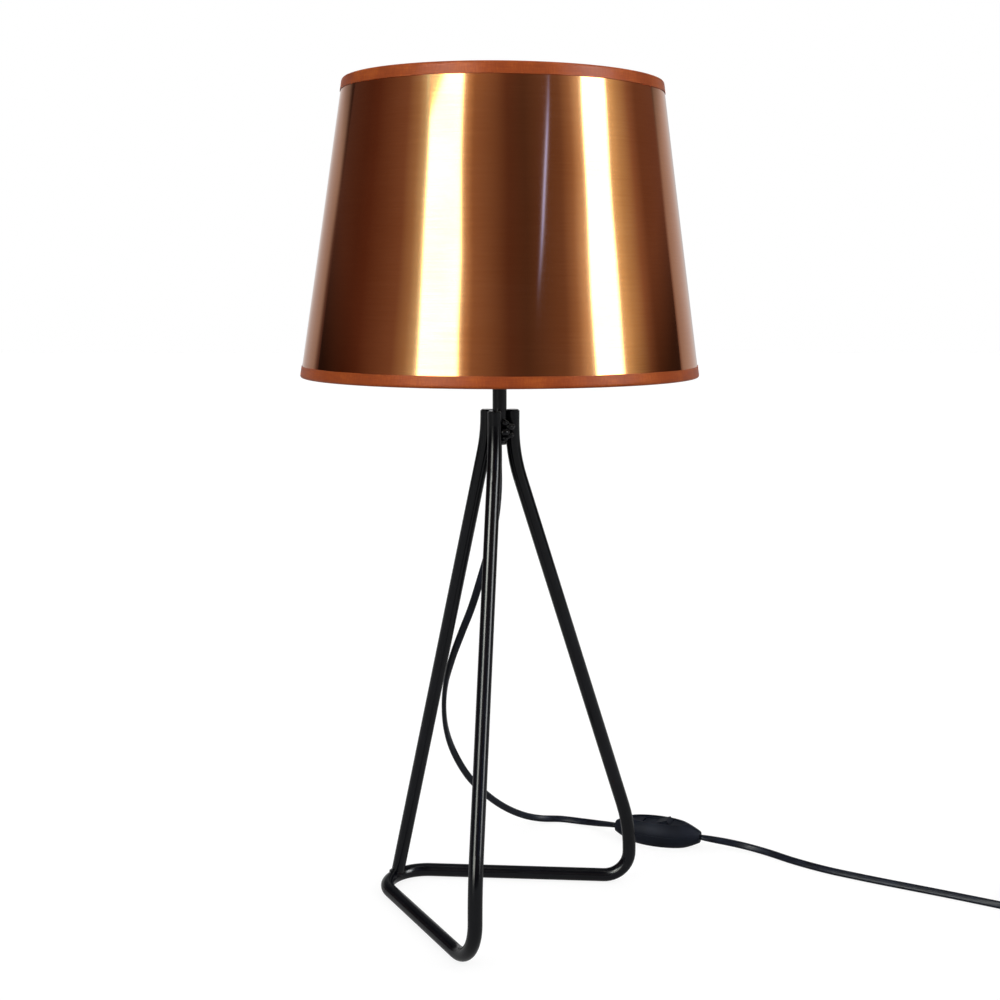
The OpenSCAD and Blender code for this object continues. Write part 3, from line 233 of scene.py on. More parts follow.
per_turn = 24
lead_in = np.array([-math.sin(coil_start), math.cos(coil_start), 0]) * cord_wide * 1000
coil_rows = [
    coil_point((2 * i / per_turn - coil_turns) * math.pi) for i in range(coil_turns * per_turn + 1)
]
first = (*(np.array(coil_rows[0][:3]) - lead_in), 0, 0, 1)
final = (*(np.array(coil_rows[-1][:3]) + lead_in), 0, 0, 1)
plug_x, plug_y, plug_z, plug_az = 478.0, 48.0, 6.85, math.radians(82)
plug_long = 63
relief_end = (
    plug_x - plug_long * math.cos(plug_az), plug_y - plug_long * math.sin(plug_az), plug_z, 0, 0, 1,
)
down_line, down_wide = smooth_route([
    (166.74, 120.12, 9.8, 0.39, 0.92, 0),
    (175, 117.6, 9.1, 0.34, 0.8, 0.5),
    (191, 116.4, 6.4, 0.15, 0.42, 0.9),
    (207, 112.6, 3.8, 0.15, 0.35, 0.92),
    (221.8, 102, 2.85, 0.3, 0.35, 0.88),
    (235.6, 87.8, 2.65, 0.42, 0.46, 0.77),
    (249, 75.6, 2.65, 0.41, 0.48, 0.77),
    (262.6, 64.9, 2.65, 0.39, 0.51, 0.77),
    (276.5, 55.8, 2.65, 0.36, 0.54, 0.77),
    (297, 43.2, 2.65, 0.33, 0.55, 0.77),
    (319, 30.5, 2.65, 0.33, 0.55, 0.77),
    (341, 17.8, 2.65, 0.33, 0.55, 0.77),
    (363, 4.4, 2.7, 0.3, 0.48, 0.82),
    (384, -9.6, 3.1, 0.08, 0.13, 0.98),
    first,
    *coil_rows,
    final,
    (422, -38, 8, 0, 0, 1),
    (438, -46, 4.6, 0, 0, 1),
    (455, -46, 3.2, 0, 0, 1),
    (466, -35.5, 4.4, 0, 0, 1),
    (468.6, -24, 6.4, 0, 0, 1),
    relief_end,
], 3)
points, faces = sweep_cord(down_line, down_wide)
cord_to_plug = make_piece("cord_to_plug", points, faces, cord_pvc)
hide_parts("cord_lower", "cord_coil", "cord_tail")
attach(cord_to_plug, "stand")

# A moulded strap holds the coil's turns together, three quarters of a turn past the cord's entry.
tie_wide, tie_thick, tie_gap = 4.5, 0.5, 0.1
tie_corner = 5
half_step = math.pi / per_turn
chord_dip = tie_wide / 2 * math.tan(half_step + coil_pitch / (2 * math.pi * coil_inner))
half_thick, half_wide = cord_thick * 500, cord_wide * 500
tie_low = coil_inner + coil_pitch / 4 - half_thick - chord_dip - tie_gap
tie_high = coil_outer - coil_pitch / 4 + half_thick + tie_gap
tie_floor = coil_z - half_wide - tie_gap
tie_roof = coil_z + layer_pitch + half_wide + tie_gap
facing = coil_start + 1.5 * math.pi
loop = []
for (r0, z0), (dr, dz) in (
    ((tie_low, tie_floor), (-1, -1)), ((tie_high, tie_floor), (1, -1)),
    ((tie_high, tie_roof), (1, 1)), ((tie_low, tie_roof), (-1, 1)),
):
    for part in range(tie_corner):
        share = part / (tie_corner - 1)
        turn = (share if dr * dz > 0 else 1 - share) * math.pi / 2
        bulge = (r0 + dr * tie_thick * math.sin(turn), z0 + dz * tie_thick * math.cos(turn))
        loop.append(((r0, z0), bulge))
points, faces = [], []
for inner_point, outer_point in loop:
    for r, z in (inner_point, outer_point):
        for along in (-tie_wide / 2, tie_wide / 2):
            x = coil_x + r * math.cos(facing) - along * math.sin(facing)
            y = coil_y + r * math.sin(facing) + along * math.cos(facing)
            points.append((x / 1000, y / 1000, z / 1000))
for i in range(len(loop)):
    a, b = i * 4, (i + 1) % len(loop) * 4
    faces += [(a + 2, b + 2, b + 3, a + 3), (a, a + 1, b + 1, b)]
    faces += [(a, b, b + 2, a + 2), (a + 1, a + 3, b + 3, b + 1)]
coil_strap = make_piece("coil_strap", points, faces, cord_pvc, smooth=False)
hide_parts("coil_tie")
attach(coil_strap, "stand")


# Stand and stem

# One bent steel rod makes the front leg, the base and the right leg; a second rod is the left leg,
# welded on at the corner. A short steel tube is welded between the tops. All is powder coated.
def dress(material, *names):
    """Gives CAD nodes their finish through their own material slots."""
    for name in names:
        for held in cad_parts[name].material_slots:
            held.material = material


# Powder coat: baked polyester, deep black, half gloss, with the soft orange peel of the baked powder.
powder_coat, tree, shader = start_material(
    "powder_coat_black_half_gloss", IOR=1.5, Roughness=0.15, Specular_IOR_Level=0.3,
)
place = add(tree, "ShaderNodeTexCoord").outputs["Object"]
shade_of_black = add(tree, "ShaderNodeTexNoise", {"Vector": place, "Scale": 1000 / 25, "Detail": 5.0})
tone = add(tree, "ShaderNodeValToRGB", {"Fac": shade_of_black.outputs["Fac"]})
set_stops(tone, [(0.3, linear("#06070B")), (0.7, linear("#0E0F15"))])
tree.links.new(tone.outputs["Color"], shader.inputs["Base Color"])
peel = add(tree, "ShaderNodeTexNoise", {"Vector": place, "Scale": 1000 / 1.6, "Detail": 2.0})
gloss = add(tree, "ShaderNodeMapRange", {"Value": peel.outputs["Fac"], "To Min": 0.12, "To Max": 0.2})
tree.links.new(gloss.outputs["Result"], shader.inputs["Roughness"])
ripple = add(tree, "ShaderNodeBump", {
    "Height": peel.outputs["Fac"], "Strength": 0.5, "Distance": 0.000006,
})
tree.links.new(ripple.outputs["Normal"], shader.inputs["Normal"])
dress(powder_coat, "base_frame", "left_leg", "stem_tube", "foot_weld")

# The welds are short runs of beads, laid by hand: each bead is a lump, and they overlap. A run has
# its bearing in degrees, how far it stands off the stem in millimetres, and its beads: how far each
# is turned from the run, how high it sits over the weld's middle, its half height, which bead_flat
# shortens, and its half width.
stem_r = 5.1
weld_z = 361.8
weld_runs = (
    (-50, 3.4, (
        (-16.8, 5.4, 4.2, 3.6), (14.4, 2.4, 4.8, 4.0), (-16.8, -1.2, 5.0, 4.0), (16.8, -3.8, 4.2, 3.3),
        (-14.4, -6, 3.4, 2.6),
    )),
    (87, 0.8, ((0, 4.0, 3.4, 3.2), (-9.6, 0.2, 3.8, 3.2), (7.2, -3.4, 3.2, 3.0))),
    (-161, 0.8, ((4.8, 3.8, 3.0, 2.8), (-7.2, 0.4, 3.2, 2.8), (4.8, -3.2, 2.8, 2.6))),
)
bead_rings, bead_sides = 10, 18
bead_flat = 0.62
points, faces = [], []
for k, (az, off, beads) in enumerate(weld_runs):
    for n, (turned, up, tall, wide) in enumerate(beads):
        a = math.radians(az + turned)
        out = stem_r + off
        middle = np.array([math.cos(a) * out, math.sin(a) * out, weld_z + up])
        start = len(points)
        for i in range(bead_rings + 1):
            lat = math.pi * i / bead_rings
            for j in range(bead_sides):
                lon = 2 * math.pi * j / bead_sides
                ripple = 0.05 * math.sin(3 * lon + 5 * k + n) * math.sin(lat)
                rough = 1 + ripple + 0.03 * math.sin(5 * lat + 2 * n)
                points.append((middle + rough * np.array([
                    math.sin(lat) * math.cos(lon) * wide, math.sin(lat) * math.sin(lon) * wide,
                    math.cos(lat) * tall * bead_flat,
                ])) / 1000)
        for i in range(bead_rings):
            for j in range(bead_sides):
                here, above = start + i * bead_sides, start + (i + 1) * bead_sides
                q = (j + 1) % bead_sides
                faces.append((here + j, above + j, above + q, here + q))
beads_run = make_piece("weld_beads", points, faces, powder_coat)
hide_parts("stem_welds")
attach(beads_run, "stand")


# Lampholder

# A screw-cap lampholder: domed cap on the stem, skirt with a flange, and the ring that screws down
# on the shade's fitter. Moulded in black glass-filled PBT, round a pressed ceramic core.
holder_pbt, tree, shader = start_material("moulded_pbt_black", IOR=1.54, Roughness=0.42)
place = add(tree, "ShaderNodeTexCoord").outputs["Object"]
flow = add(tree, "ShaderNodeTexNoise", {"Vector": place, "Scale": 1000 / 14, "Detail": 3.0})
tone = add(tree, "ShaderNodeValToRGB", {"Fac": flow.outputs["Fac"]})
set_stops(tone, [(0.3, linear("#0F0F11")), (0.7, linear("#1A1A1D"))])
tree.links.new(tone.outputs["Color"], shader.inputs["Base Color"])
grain = add(tree, "ShaderNodeTexNoise", {"Vector": place, "Scale": 1000 / 0.4, "Detail": 2.0})
fine = add(tree, "ShaderNodeBump", {"Height": grain.outputs["Fac"], "Strength": 0.4, "Distance": 0.00002})
tree.links.new(fine.outputs["Normal"], shader.inputs["Normal"])
dress(holder_pbt, "holder_cap", "holder_skirt", "shade_ring", "stem_bush")

# Steatite: dry-pressed, fired and left unglazed, so it is chalky with a faint speckle.
steatite, tree, shader = start_material("pressed_steatite_ivory", IOR=1.55, Roughness=0.55)
place = add(tree, "ShaderNodeTexCoord").outputs["Object"]
speckle = add(tree, "ShaderNodeTexNoise", {"Vector": place, "Scale": 1000 / 0.8, "Detail": 4.0})
tone = add(tree, "ShaderNodeValToRGB", {"Fac": speckle.outputs["Fac"]})
set_stops(tone, [(0.35, linear("#CFC6B0")), (0.65, linear("#E4DDCB"))])
tree.links.new(tone.outputs["Color"], shader.inputs["Base Color"])
chalk = add(tree, "ShaderNodeBump", {
    "Height": speckle.outputs["Fac"], "Strength": 0.5, "Distance": 0.00003,
})
tree.links.new(chalk.outputs["Normal"], shader.inputs["Normal"])
dress(steatite, "holder_core")

# Brass: stamped from strip, bright with fine rolling lines along its length.
brass, tree, shader = start_material("stamped_brass", Metallic=1.0, Roughness=0.28)
place = add(tree, "ShaderNodeTexCoord").outputs["Object"]
rolled = add(tree, "ShaderNodeMapping", {"Vector": place, "Scale": (1000 / 6, 1000 / 0.25, 1000 / 6)})
lines = add(tree, "ShaderNodeTexNoise", {"Vector": rolled.outputs["Vector"], "Scale": 1.0, "Detail": 3.0})
tone = add(tree, "ShaderNodeValToRGB", {"Fac": lines.outputs["Fac"]})
set_stops(tone, [(0.3, linear("#C49A4C")), (0.7, linear("#DDBB70"))])
tree.links.new(tone.outputs["Color"], shader.inputs["Base Color"])
gloss = add(tree, "ShaderNodeMapRange", {"Value": lines.outputs["Fac"], "To Min": 0.2, "To Max": 0.36})
tree.links.new(gloss.outputs["Result"], shader.inputs["Roughness"])
dress(
    brass, "centre_contact", "side_contact", "terminal_screws", "moving_contact", "fixed_contact",
    "pivot_contact",
)
dress(cord_pvc, "stem_lead", "switch_leads")


# Shade carrier

# Steel wire rings and three arms, spot welded to the fitter ring and dipped in white epoxy, which
# draws a little thinner on the crowns and thicker in the welds.
white_epoxy, tree, shader = start_material("dipped_epoxy_white", IOR=1.5, Roughness=0.32)
place = add(tree, "ShaderNodeTexCoord").outputs["Object"]
pool = add(tree, "ShaderNodeTexNoise", {"Vector": place, "Scale": 1000 / 18, "Detail": 3.0})
tone = add(tree, "ShaderNodeValToRGB", {"Fac": pool.outputs["Fac"]})
set_stops(tone, [(0.3, linear("#D9D7D0")), (0.7, linear("#E9E7E1"))])
tree.links.new(tone.outputs["Color"], shader.inputs["Base Color"])
runs = add(tree, "ShaderNodeTexNoise", {"Vector": place, "Scale": 1000 / 3, "Detail": 2.0})
wet = add(tree, "ShaderNodeBump", {"Height": runs.outputs["Fac"], "Strength": 0.3, "Distance": 0.0001})
tree.links.new(wet.outputs["Normal"], shader.inputs["Normal"])
dress(white_epoxy, "shade_carrier")


# Shade

# A cone rolled from copper-metallised film on white PVC sheet and glued along a 10 mm lap at the
# back. The film is drawn as mirror copper with hairlines that run round the shade.
shade_z = 0.4005
shade_tall = 0.205
shade_low_r = 0.1425
shade_high_r = 0.11325
film_in = 0.00046
film_thick = 0.0004
# The lap is 10 mm wide, centred on the back, and its upper layer rises over twice that width.
back = math.pi / 2
lap = 0.01 / shade_low_r
lap_ramp = 2 * lap
lap_step = 0.00046
# The whole top has slipped a little: aside, in metres, down to the right, as a slope, and tighter.
top_aside, top_slope, top_tighter = 0.00224, 0.0107, 0.0075


def film_lift(angle, height):
    """How far the rolled film stands off a true cone: slow waves, and the lap's upper layer."""
    waves = (
        0.00009 * math.sin(5 * angle + 9 * height + 0.7)
        + 0.00005 * math.sin(9 * angle - 21 * height + 2.1)
        + 0.00002 * math.sin(17 * angle + 55 * height)
    )
    past = angle - (2 * math.pi + back - lap / 2 - lap_ramp)
    rise = min(max(past / lap_ramp, 0.0), 1.0)
    return waves + lap_step * rise * rise * (3 - 2 * rise)


def cone_r(height):
    """The radius of the shade's outer face at a height over its lower edge."""
    return shade_low_r + (shade_high_r - shade_low_r) * height / shade_tall


def leaned(angle, r, height):
    """A point of the shade, with its share of how the top has slipped."""
    share = height / shade_tall
    r *= 1 - top_tighter * share
    x = r * math.cos(angle)
    return x + top_aside * share, r * math.sin(angle), shade_z + height - top_slope * share * x


# Copper film: vacuum-metallised polyester under a clear lacquer. The lacquer gives the sharp white
# edge of each reflection, and the brushed metal its golden fringe.
copper_film, tree, shader = start_material(
    "metallised_copper_film", Metallic=1.0, Roughness=0.07, Coat_Weight=0.3, Coat_Roughness=0.02,
)
place = add(tree, "ShaderNodeTexCoord").outputs["Object"]
# Hairlines 0.1 mm apart and 30 mm long, drawn 0.6 mm apart to show.
brushed = add(tree, "ShaderNodeMapping", {"Vector": place, "Scale": (1000 / 30, 1000 / 30, 1000 / 0.6)})
hair = add(tree, "ShaderNodeTexNoise", {
    "Vector": brushed.outputs["Vector"], "Scale": 1.0, "Detail": 5.0, "Roughness": 0.65,
})
cloud = add(tree, "ShaderNodeTexNoise", {"Vector": place, "Scale": 1000 / 60, "Detail": 2.0})
both = add(tree, "ShaderNodeMath", {0: hair.outputs["Fac"], 1: cloud.outputs["Fac"]}, operation="ADD")
mean = add(tree, "ShaderNodeMath", {0: both.outputs[0], 1: 0.5}, operation="MULTIPLY")
tone = add(tree, "ShaderNodeValToRGB", {"Fac": mean.outputs[0]})
set_stops(tone, [(0.35, linear("#DC8549")), (0.65, linear("#E8955B"))])
tree.links.new(tone.outputs["Color"], shader.inputs["Base Color"])
gloss = add(tree, "ShaderNodeMapRange", {"Value": hair.outputs["Fac"], "To Min": 0.05, "To Max": 0.09})
tree.links.new(gloss.outputs["Result"], shader.inputs["Roughness"])
scratch = add(tree, "ShaderNodeBump", {
    "Height": hair.outputs["Fac"], "Strength": 0.4, "Distance": 0.000004,
})
tree.links.new(scratch.outputs["Normal"], shader.inputs["Normal"])

# The sheet behind it: calendered white PVC, satin and slightly warm.
shade_pvc, tree, shader = start_material("calendered_pvc_white", IOR=1.53, Roughness=0.5)
place = add(tree, "ShaderNodeTexCoord").outputs["Object"]
sheet_cloud = add(tree, "ShaderNodeTexNoise", {"Vector": place, "Scale": 1000 / 35, "Detail": 3.0})
tone = add(tree, "ShaderNodeValToRGB", {"Fac": sheet_cloud.outputs["Fac"]})
set_stops(tone, [(0.3, linear("#E8E5DE")), (0.7, linear("#F2F0EA"))])
tree.links.new(tone.outputs["Color"], shader.inputs["Base Color"])
emboss = add(tree, "ShaderNodeTexNoise", {"Vector": place, "Scale": 1000 / 0.5, "Detail": 2.0})
satin = add(tree, "ShaderNodeBump", {
    "Height": emboss.outputs["Fac"], "Strength": 0.3, "Distance": 0.00002,
})
tree.links.new(satin.outputs["Normal"], shader.inputs["Normal"])

round_steps, high_steps = 300, 36
film_short = 0.0016
film_low, film_high = film_short, shade_tall - film_short
points = []
for i in range(round_steps + 1):
    angle = back - lap / 2 + i * (2 * math.pi + lap) / round_steps
    for j in range(high_steps + 1):
        h = film_low + (film_high - film_low) * j / high_steps
        for depth in (0.0, film_thick):
            r = cone_r(h) - film_in - depth + film_lift(angle, h)
            points.append(leaned(angle, r, h))
column = 2 * (high_steps + 1)
faces, inside = [], []
for i in range(round_steps):
    for j in range(high_steps):
        a = i * column + 2 * j
        faces.append((a, a + column, a + column + 2, a + 2))
        inside.append(0)
        faces.append((a + 1, a + 3, a + column + 3, a + column + 1))
        inside.append(1)
    low, high = i * column, i * column + 2 * high_steps
    faces.append((low, low + 1, low + column + 1, low + column))
    faces.append((high, high + column, high + column + 1, high + 1))
    inside += [1, 1]
for j in range(high_steps):
    a, b = 2 * j, round_steps * column + 2 * j
    faces += [(a, a + 2, a + 3, a + 1), (b, b + 1, b + 3, b + 2)]
    inside += [1, 1]
shade_skin = make_piece("shade_film", points, faces, copper_film)
shade_skin.data.materials.append(shade_pvc)
shade_skin.data.polygons.foreach_set("material_index", inside)
shade_skin.data.set_sharp_from_angle(angle=math.radians(50))
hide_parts("shade_panel")
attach(shade_skin, "stand")

# The wire that the top edge is rolled round, from the same white dip as the carrier.
wire_r = 0.0013
wire_steps, wire_sides = 144, 16
below_edge, off_film = 0.0004, 0.0002
wire_h = shade_tall - below_edge - wire_r
ring_r = cone_r(wire_h) - film_in - film_thick - off_film - wire_r
points, faces = [], []
for i in range(wire_steps):
    angle = 2 * math.pi * i / wire_steps
    for k in range(wire_sides):
        turn = 2 * math.pi * k / wire_sides
        points.append(leaned(angle, ring_r + wire_r * math.cos(turn), wire_h + wire_r * math.sin(turn)))
        a, b = i * wire_sides + k, i * wire_sides + (k + 1) % wire_sides
        c, d = (((i + 1) % wire_steps) * wire_sides + n % wire_sides for n in (k + 1, k))
        faces.append((a, d, c, b))
top_wire = make_piece("shade_top_wire", points, faces, white_epoxy)
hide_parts("top_wire")
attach(top_wire, "stand")


# Edging ribbon

# Woven viscose ribbon, 0.4 mm thick, glued 8 mm up the outside of each edge, rolled round the wire
# and glued down 5 mm inside. The roll turns dark where it leaves the light.
ribbon_cloth, tree, shader = start_material(
    "woven_viscose_ribbon", IOR=1.46, Roughness=0.42, Specular_IOR_Level=0.36,
)
place = add(tree, "ShaderNodeTexCoord").outputs["Object"]
# Threads 0.3 mm apart, drawn 0.7 mm apart so that they show.
warp = add(tree, "ShaderNodeMapping", {"Vector": place, "Scale": (1000 / 9, 1000 / 9, 1000 / 0.7)})
along = add(tree, "ShaderNodeTexNoise", {"Vector": warp.outputs["Vector"], "Scale": 1.0, "Detail": 2.0})
weft = add(tree, "ShaderNodeMapping", {"Vector": place, "Scale": (1000 / 0.9, 1000 / 0.9, 1000 / 6)})
across = add(tree, "ShaderNodeTexNoise", {"Vector": weft.outputs["Vector"], "Scale": 1.0, "Detail": 2.0})
dye = add(tree, "ShaderNodeTexNoise", {"Vector": place, "Scale": 1000 / 22, "Detail": 3.0})
threads = add(tree, "ShaderNodeMath", {
    0: along.outputs["Fac"], 1: across.outputs["Fac"],
}, operation="MULTIPLY")
dyed = add(tree, "ShaderNodeMath", {0: threads.outputs[0], 1: dye.outputs["Fac"]}, operation="ADD")
tone = add(tree, "ShaderNodeValToRGB", {"Fac": dyed.outputs[0]})
set_stops(tone, [(0.5, linear("#923D0E")), (0.78, linear("#A24711")), (1.0, linear("#B25517"))])
tree.links.new(tone.outputs["Color"], shader.inputs["Base Color"])
cloth = add(tree, "ShaderNodeBump", {"Height": threads.outputs[0], "Strength": 0.5, "Distance": 0.00008})
tree.links.new(cloth.outputs["Normal"], shader.inputs["Normal"])

# Each row is a point of the ribbon's outer face, in millimetres: how far inside the film, and how
# far from the edge.
ribbon_face = [
    (0.0, 8.0), (0.0, 6.5), (0.0, 5.0), (0.0, 3.5), (0.0, 2.2), (0.05, 1.4), (0.25, 0.75), (0.65, 0.3),
    (1.25, 0.07), (2.2, 0.0), (3.1, 0.12), (3.75, 0.55), (4.1, 1.25), (4.2, 2.2), (4.2, 3.6), (4.2, 5.0),
]
# Drawn a little thinner than it is, so that it stays clear of the film.
ribbon_thick = 0.35


def ribbon_ring(name, edge, up, node):
    """The ribbon round one edge; up is 1 at the bottom edge and -1 at the top."""
    steps = 300
    count = len(ribbon_face)
    section = []
    for k, (depth, rise) in enumerate(ribbon_face):
        before, after = ribbon_face[max(k - 1, 0)], ribbon_face[min(k + 1, count - 1)]
        run = np.array([after[0] - before[0], after[1] - before[1]])
        run /= np.linalg.norm(run)
        section.append(((depth, rise), (depth - run[1] * ribbon_thick, rise + run[0] * ribbon_thick)))
    points = []
    for i in range(steps):
        angle = back + lap / 2 + 2 * math.pi * i / steps
        # The ribbon starts on the lap's upper layer, where the film has gone once round.
        on_film = angle if i else angle + 2 * math.pi
        # The hand that glued it let its free edges wander, and its fold pucker.
        wander = 0.12 * math.sin(7 * angle + up) + 0.07 * math.sin(19 * angle + 2 * up)
        pucker = 0.03 * math.sin(31 * angle) + 0.02 * math.sin(53 * angle + 1)
        for side in (0, 1):
            for k in range(count):
                depth, rise = section[k][side]
                freedom = max(0.0, rise - 4) / 4 * (1 if k < count / 2 else 0.6)
                h = edge + up * (rise + wander * freedom) / 1000
                r = cone_r(h) - (depth + pucker * min(rise, 3) / 3) / 1000 + film_lift(on_film, h)
                points.append(leaned(angle, r, h))
    ring = 2 * count
    faces = []
    loop = list(range(count)) + list(range(2 * count - 1, count - 1, -1))
    for i in range(steps):
        n = (i + 1) % steps
        for k in range(ring):
            a, b = loop[k], loop[(k + 1) % ring]
            quad = (i * ring + a, i * ring + b, n * ring + b, n * ring + a)
            faces.append(quad if up > 0 else quad[::-1])
    piece = make_piece(name, points, faces, ribbon_cloth)
    piece.data.set_sharp_from_angle(angle=math.radians(60))
    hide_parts(node)
    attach(piece, "stand")


ribbon_ring("ribbon_bottom", 0.0, 1, "bottom_trim")
ribbon_ring("ribbon_top", shade_tall, -1, "top_trim")


# Lamp

# A 60 mm globe lamp: blown glass flashed with opal, on a rolled aluminium screw cap with a black
# glass insulator and a soldered tip. It screws out of the lampholder.
opal_glass, tree, shader = start_material(
    "blown_opal_glass", IOR=1.51, Roughness=0.12, Transmission_Weight=0.15,
)
place = add(tree, "ShaderNodeTexCoord").outputs["Object"]
flash = add(tree, "ShaderNodeTexNoise", {"Vector": place, "Scale": 1000 / 40, "Detail": 2.0})
tone = add(tree, "ShaderNodeValToRGB", {"Fac": flash.outputs["Fac"]})
set_stops(tone, [(0.3, linear("#E9E6DD")), (0.7, linear("#F3F1EB"))])
tree.links.new(tone.outputs["Color"], shader.inputs["Base Color"])
dress(opal_glass, "bulb_globe")

cap_metal, tree, shader = start_material("rolled_aluminium", Metallic=1.0, Roughness=0.3)
place = add(tree, "ShaderNodeTexCoord").outputs["Object"]
rubbed = add(tree, "ShaderNodeTexNoise", {"Vector": place, "Scale": 1000 / 2, "Detail": 4.0})
tone = add(tree, "ShaderNodeValToRGB", {"Fac": rubbed.outputs["Fac"]})
set_stops(tone, [(0.3, linear("#B9BABC")), (0.7, linear("#D2D3D4"))])
tree.links.new(tone.outputs["Color"], shader.inputs["Base Color"])
gloss = add(tree, "ShaderNodeMapRange", {"Value": rubbed.outputs["Fac"], "To Min": 0.22, "To Max": 0.4})
tree.links.new(gloss.outputs["Result"], shader.inputs["Roughness"])
dress(cap_metal, "bulb_cap", "bulb_contact")

vitrite, tree, shader = start_material("cast_black_glass", IOR=1.6, Roughness=0.15)
place = add(tree, "ShaderNodeTexCoord").outputs["Object"]
cord_lines = add(tree, "ShaderNodeTexNoise", {"Vector": place, "Scale": 1000 / 5, "Detail": 2.0})
tone = add(tree, "ShaderNodeValToRGB", {"Fac": cord_lines.outputs["Fac"]})
set_stops(tone, [(0.3, linear("#101013")), (0.7, linear("#1B1A20"))])
tree.links.new(tone.outputs["Color"], shader.inputs["Base Color"])
dress(vitrite, "bulb_insulator")


# In-line switch

# Two ABS shells screwed together round the contacts, with a rocker in a stepped window. The
# moulding is spark-finished, so the black is soft, with a blue cast where the light grazes it.
switch_abs, tree, shader = start_material(
    "moulded_abs_black", IOR=1.54, Roughness=0.55, Specular_IOR_Level=0.13,
)
place = add(tree, "ShaderNodeTexCoord").outputs["Object"]
flow = add(tree, "ShaderNodeTexNoise", {"Vector": place, "Scale": 1000 / 16, "Detail": 3.0})
tone = add(tree, "ShaderNodeValToRGB", {"Fac": flow.outputs["Fac"]})
set_stops(tone, [(0.3, linear("#10131B")), (0.7, linear("#181C27"))])
tree.links.new(tone.outputs["Color"], shader.inputs["Base Color"])
spark = add(tree, "ShaderNodeTexNoise", {"Vector": place, "Scale": 1000 / 0.35, "Detail": 2.0})
fine = add(tree, "ShaderNodeBump", {
    "Height": spark.outputs["Fac"], "Strength": 0.35, "Distance": 0.00002,
})
tree.links.new(fine.outputs["Normal"], shader.inputs["Normal"])
dress(switch_abs, "switch_lower", "switch_upper", "rocker")

# Natural polyamide: milky, with a dull moulded skin.
polyamide, tree, shader = start_material("moulded_polyamide_natural", IOR=1.53, Roughness=0.45)
place = add(tree, "ShaderNodeTexCoord").outputs["Object"]
milk = add(tree, "ShaderNodeTexNoise", {"Vector": place, "Scale": 1000 / 4, "Detail": 3.0})
tone = add(tree, "ShaderNodeValToRGB", {"Fac": milk.outputs["Fac"]})
set_stops(tone, [(0.3, linear("#D8D1BE")), (0.7, linear("#E6E0D0"))])
tree.links.new(tone.outputs["Color"], shader.inputs["Base Color"])
dress(polyamide, "rocker_plunger", "cord_clamps")

# Zinc plate on steel screws: grey, a little cloudy.
zinc, tree, shader = start_material("zinc_plated_steel", Metallic=1.0, Roughness=0.35)
place = add(tree, "ShaderNodeTexCoord").outputs["Object"]
bloom = add(tree, "ShaderNodeTexNoise", {"Vector": place, "Scale": 1000 / 1.5, "Detail": 3.0})
tone = add(tree, "ShaderNodeValToRGB", {"Fac": bloom.outputs["Fac"]})
set_stops(tone, [(0.3, linear("#A4A8AD")), (0.7, linear("#C2C5C9"))])
tree.links.new(tone.outputs["Color"], shader.inputs["Base Color"])
gloss = add(tree, "ShaderNodeMapRange", {"Value": bloom.outputs["Fac"], "To Min": 0.26, "To Max": 0.44})
tree.links.new(gloss.outputs["Result"], shader.inputs["Roughness"])
dress(zinc, "switch_screws", "clamp_screws", "switch_terminal_screws")


# Mains plug

# A flat two-pin plug moulded on the cord's end in soft black PVC, with a ribbed tapered strain
# relief. Its pins are nickel-plated brass, sleeved for the first 10 mm.
plug_pvc, tree, shader = start_material("moulded_pvc_black", IOR=1.53, Roughness=0.5)
place = add(tree, "ShaderNodeTexCoord").outputs["Object"]
flow = add(tree, "ShaderNodeTexNoise", {"Vector": place, "Scale": 1000 / 12, "Detail": 3.0})
tone = add(tree, "ShaderNodeValToRGB", {"Fac": flow.outputs["Fac"]})
set_stops(tone, [(0.3, linear("#0F1116")), (0.7, linear("#1A1D25"))])
tree.links.new(tone.outputs["Color"], shader.inputs["Base Color"])
mat_grain = add(tree, "ShaderNodeTexNoise", {"Vector": place, "Scale": 1000 / 0.5, "Detail": 2.0})
fine = add(tree, "ShaderNodeBump", {
    "Height": mat_grain.outputs["Fac"], "Strength": 0.4, "Distance": 0.00003,
})
tree.links.new(fine.outputs["Normal"], shader.inputs["Normal"])
dress(plug_pvc, "plug_body", "plug_pin_sleeves")

nickel, tree, shader = start_material("nickel_plated_brass", Metallic=1.0, Roughness=0.18)
place = add(tree, "ShaderNodeTexCoord").outputs["Object"]
worn = add(tree, "ShaderNodeTexNoise", {"Vector": place, "Scale": 1000 / 1.2, "Detail": 3.0})
tone = add(tree, "ShaderNodeValToRGB", {"Fac": worn.outputs["Fac"]})
set_stops(tone, [(0.3, linear("#BDB8AC")), (0.7, linear("#D8D4CA"))])
tree.links.new(tone.outputs["Color"], shader.inputs["Base Color"])
gloss = add(tree, "ShaderNodeMapRange", {"Value": worn.outputs["Fac"], "To Min": 0.12, "To Max": 0.26})
tree.links.new(gloss.outputs["Result"], shader.inputs["Roughness"])
dress(nickel, "plug_pins")


# Studio

# A pale floor and a white surround. In front of the lamp two tall soft boxes stand in a dim room:
# polished metal shows them as two bright bands, with the white backdrop at its far edges.
world = bpy.data.worlds.new("studio")
bpy.context.scene.world = world
world.use_nodes = True
tree = world.node_tree
tree.nodes.clear()
looked_at = add(tree, "ShaderNodeTexCoord").outputs["Generated"]
towards = add(tree, "ShaderNodeSeparateXYZ", {"Vector": looked_at}).outputs
height = towards["Z"]
ahead = add(tree, "ShaderNodeMath", {0: towards["Y"], 1: -1.0}, operation="MULTIPLY").outputs[0]
bearing = add(tree, "ShaderNodeMath", {0: towards["X"], 1: ahead}, operation="ARCTAN2").outputs[0]
sideways = add(tree, "ShaderNodeMath", {0: bearing}, operation="ABSOLUTE").outputs[0]
